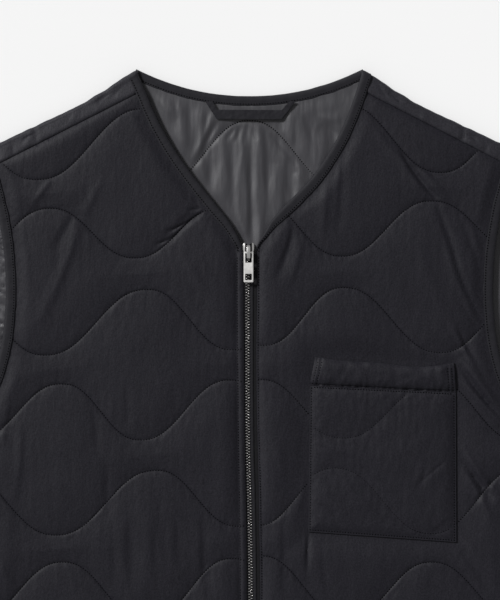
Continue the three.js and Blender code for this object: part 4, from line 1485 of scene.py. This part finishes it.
def metalCopy(node, name, body, shift, width, metal, reshape=None):
    # the solid's own shape with its edges rounded
    bm = bmesh.new()
    bm.from_mesh(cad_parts[node].data)
    bmesh.ops.scale(bm, vec=(1000, 1000, 1000), verts=bm.verts)
    bmesh.ops.remove_doubles(bm, verts=bm.verts, dist=0.001)
    bmesh.ops.dissolve_limit(bm, angle_limit=math.radians(2), verts=bm.verts, edges=bm.edges)
    bmesh.ops.translate(bm, vec=(shift, 0, 0), verts=bm.verts)
    for v in bm.verts if reshape else ():
        reshape(v)
    sharpEdges = [e for e in bm.edges if e.is_manifold and e.calc_face_angle(0) > math.radians(28)]
    bmesh.ops.bevel(
        bm, geom=sharpEdges, offset=width, segments=2, affect="EDGES", profile=0.5, material=-1,
        clamp_overlap=True)
    dress(bm, name, [node], metal, body, sharp=40)


makeTeeth()
makeCore()
for side in sides:
    makeTape(side)
metalCopy("slider", "slider_body", "vest", zipper["sliderShift"], 0.18, makeSliderPaintedShade())
metalCopy("pull", "pull_tab_metal", "pull_tab", zipper["sliderShift"], 0.22, polished, wideWindow)
metalCopy("zip_box", "zip_box_metal", "vest", 0, 0.5, plated)
print("zip made")


# Stitches

stitches = {
    # pitch, length and thickness of the thread
    "quilt": (2.45, 1.25, 1.15),
    "edge": (2.45, 1.25, 1.2),
    # the lining's near-black thread is drawn thicker than the rest so its dots also stand for the shade along
    # the lining's seams: partly real thread, partly painted shade
    "lining": (2.3, 1.45, 1.6),
    "band": (2.4, 1.2, 1.0),
    "pocket": (2.4, 1.15, 0.9),
    "over": 0.02,          # how far the thread's middle lies over a stitch line, and over a seam
    "overSeam": 0.1,
    "inset": 7.5,          # from a binding's fold
    "onNeck": 9.79,
    "onFront": 9.78,
    "onBack": 5.66,
    "neckDrops": (5.5, 163),
    "pocketInset": 1.75,
    "pocketFrom": (288, 294),
}


def stitchesAlong(whole, points, heightAt, kind):
    # one short thread after the other along a line of (x, drop)
    pitch, long, thick = kind
    bm = bmesh.new()
    travelled, due = 0, pitch / 2
    for (ax, ad), (bx, bd) in zip(points, points[1:]):
        step = math.hypot(bx - ax, bd - ad)
        while due <= travelled + step:
            t = (due - travelled) / step
            x, drop = mix(ax, bx, t), mix(ad, bd, t)
            high = heightAt(x, drop)
            if high is not None:
                turn = Matrix.Rotation(math.atan2(ad - bd, bx - ax), 4, "Z")
                shape = Matrix.Diagonal((long / 2, thick / 2, thick / 2, 1))
                place = Matrix.Translation((x, yAt(drop), high)) @ turn @ shape
                bmesh.ops.create_icosphere(bm, subdivisions=1, radius=1, matrix=place)
            due += pitch
        travelled += step
    if bm.verts:
        mesh = bpy.data.meshes.new("stitchRow")
        bm.to_mesh(mesh)
        whole.from_mesh(mesh)
        bpy.data.meshes.remove(mesh)
    bm.free()


def frontStitches(side):
    bm = bmesh.new()
    sign = sides[side]

    def quiltHeight(x, drop):
        a = abs(x)
        if drop < seamDrop(side, a) + 1 or drop > 670 or a > 289 or a < zipEdge(side, drop) + 1.5:
            return None
        if drop < vest["neckFoot"] and edgeDistance(neckX[side], a, drop, 1) < neckWidth(side, drop):
            return None
        if drop < vest["armNear"] and edgeDistance(frontArmholeX, a, drop, -1) < vest["binding"]:
            return None
        if side == "left" and 45 < a < 195 and outsidePocket(a, drop) < 0.5:
            return None
        return frontBaseAt(a) + frontHeight(side, a, drop) + stitches["over"]

    def zipHeight(x, drop):
        return vest["frontBase"] + frontHeight(side, abs(x), drop) + stitches["overSeam"]

    for turns in quiltTurns[side]:
        points = [(sign * x, waveDrop(turns, x)) for x in range(2, 292, 2)]
        stitchesAlong(bm, points, quiltHeight, stitches["quilt"])
    points = [(sign * (zipEdge(side, d) + front["stitchAt"][side]), d) for d in range(168, 670, 3)]
    stitchesAlong(bm, points, zipHeight, stitches["edge"])
    dress(bm, "front_stitches_" + side, [], thread, sharp=80)


def bindingStitches():
    bm = bmesh.new()
    low, high = stitches["neckDrops"]

    def sewn(path, inward, heightAt, widthAt=lambda t: 1):
        level = planFrame(path, inward)
        points = []
        for i in range(121):
            origin, across = level(i / 120)[:2]
            inset = stitches["inset"] * widthAt(i / 120)
            points.append((origin.x + across.x * inset, vest["length"] / 2 - origin.y - across.y * inset))
        stitchesAlong(bm, points, heightAt, stitches["edge"])

    def neckHeight(x, drop):
        return stitches["onNeck"] - dipAt(x)

    def frontEdge(x, drop):
        return stitches["onFront"] - dipAt(x)

    def backEdge(x, drop):
        return stitches["onBack"]

    def sewSide(side):
        def neckShare(t):
            return neckWidth(side, mix(high, low, t)) / vest["binding"]

        sign = sides[side]
        sewn(neckPath(side, low, high), -sign, neckHeight, neckShare)
        sewn(armPath("armFront", sign), -sign, frontEdge)
        sewn(armPath("armBack", sign), -sign, backEdge)
        sewn(hemPath(12, 290, sign), sign, frontEdge)

    for side in sides:
        sewSide(side)
    sewn(backNeckPath(96), -1, backEdge)
    sewn(hemPath(-290, 290), 1, backEdge)
    dress(bm, "binding_stitches", [], thread, sharp=80)


def liningStitches():
    bm = bmesh.new()

    def heightAt(x, drop):
        if drop < backTop(x) + 9 or drop > 668 or abs(x) > 276:
            return None
        if drop < vest["armNear"] and edgeDistance(backArmholeX, abs(x), drop, -1) < vest["binding"]:
            return None
        return vest["liningBase"] + liningHeight(x, drop) + stitches["over"]

    for turns in quiltTurns["lining"][1:6]:
        points = [(x, waveDrop(turns, x)) for x in range(-lining["sideX"], lining["sideX"] + 1, 2)]
        stitchesAlong(bm, points, heightAt, stitches["lining"])
    dress(bm, "lining_stitches", [], thread, sharp=80)


def pocketStitches():
    bm = bmesh.new()
    seat, inset = pocket["seat"], stitches["pocketInset"]
    names = ("bandInner", "bandOuter", "floorInner", "floorOuter")
    (ax, ad), (bx, bd), (cx, cd), (ex, ed) = [pocketCorners[name] for name in names]

    def rimHeight(x, drop):
        return seat + 1.1

    def seamHeight(x, drop):
        return seat + pocketHeight(x, drop) + stitches["overSeam"]

    def endHeight(x, drop):
        return seat + bandHeight(x, drop) + 0.05

    def waveHeight(x, drop):
        return seat + pocketHeight(x, drop)

    rim = [(ax + inset, ad + 1), (cx + inset, cd - inset), (ex - inset, ed - inset), (bx - inset, bd + 1)]
    stitchesAlong(bm, rim, rimHeight, stitches["edge"])
    seam = [(mix(ax, bx, t / 40), mix(ad, bd, t / 40) + 1.3) for t in range(1, 40)]
    stitchesAlong(bm, seam, seamHeight, stitches["edge"])
    for away in band["stitchAt"]:
        for way, (sx, sd), (tx, td) in band["ends"]:
            row = [(mix(sx, tx, t / 20) + way * away, mix(sd, td, t / 20)) for t in range(21)]
            stitchesAlong(bm, row, endHeight, stitches["band"])
    for turns in quiltTurns["pocket"]:
        wave = [(x, waveDrop(turns, x)) for x in range(56, 185, 2)]
        wave = [
            (x, d) for x, d in wave
            if outsidePocket(x, d) < -4 and d > mix(*stitches["pocketFrom"], alongBand(x))
        ]
        stitchesAlong(bm, wave, waveHeight, stitches["pocket"])
    dress(bm, "pocket_stitches", [], thread, sharp=80)


for side in sides:
    frontStitches(side)
bindingStitches()
liningStitches()
pocketStitches()
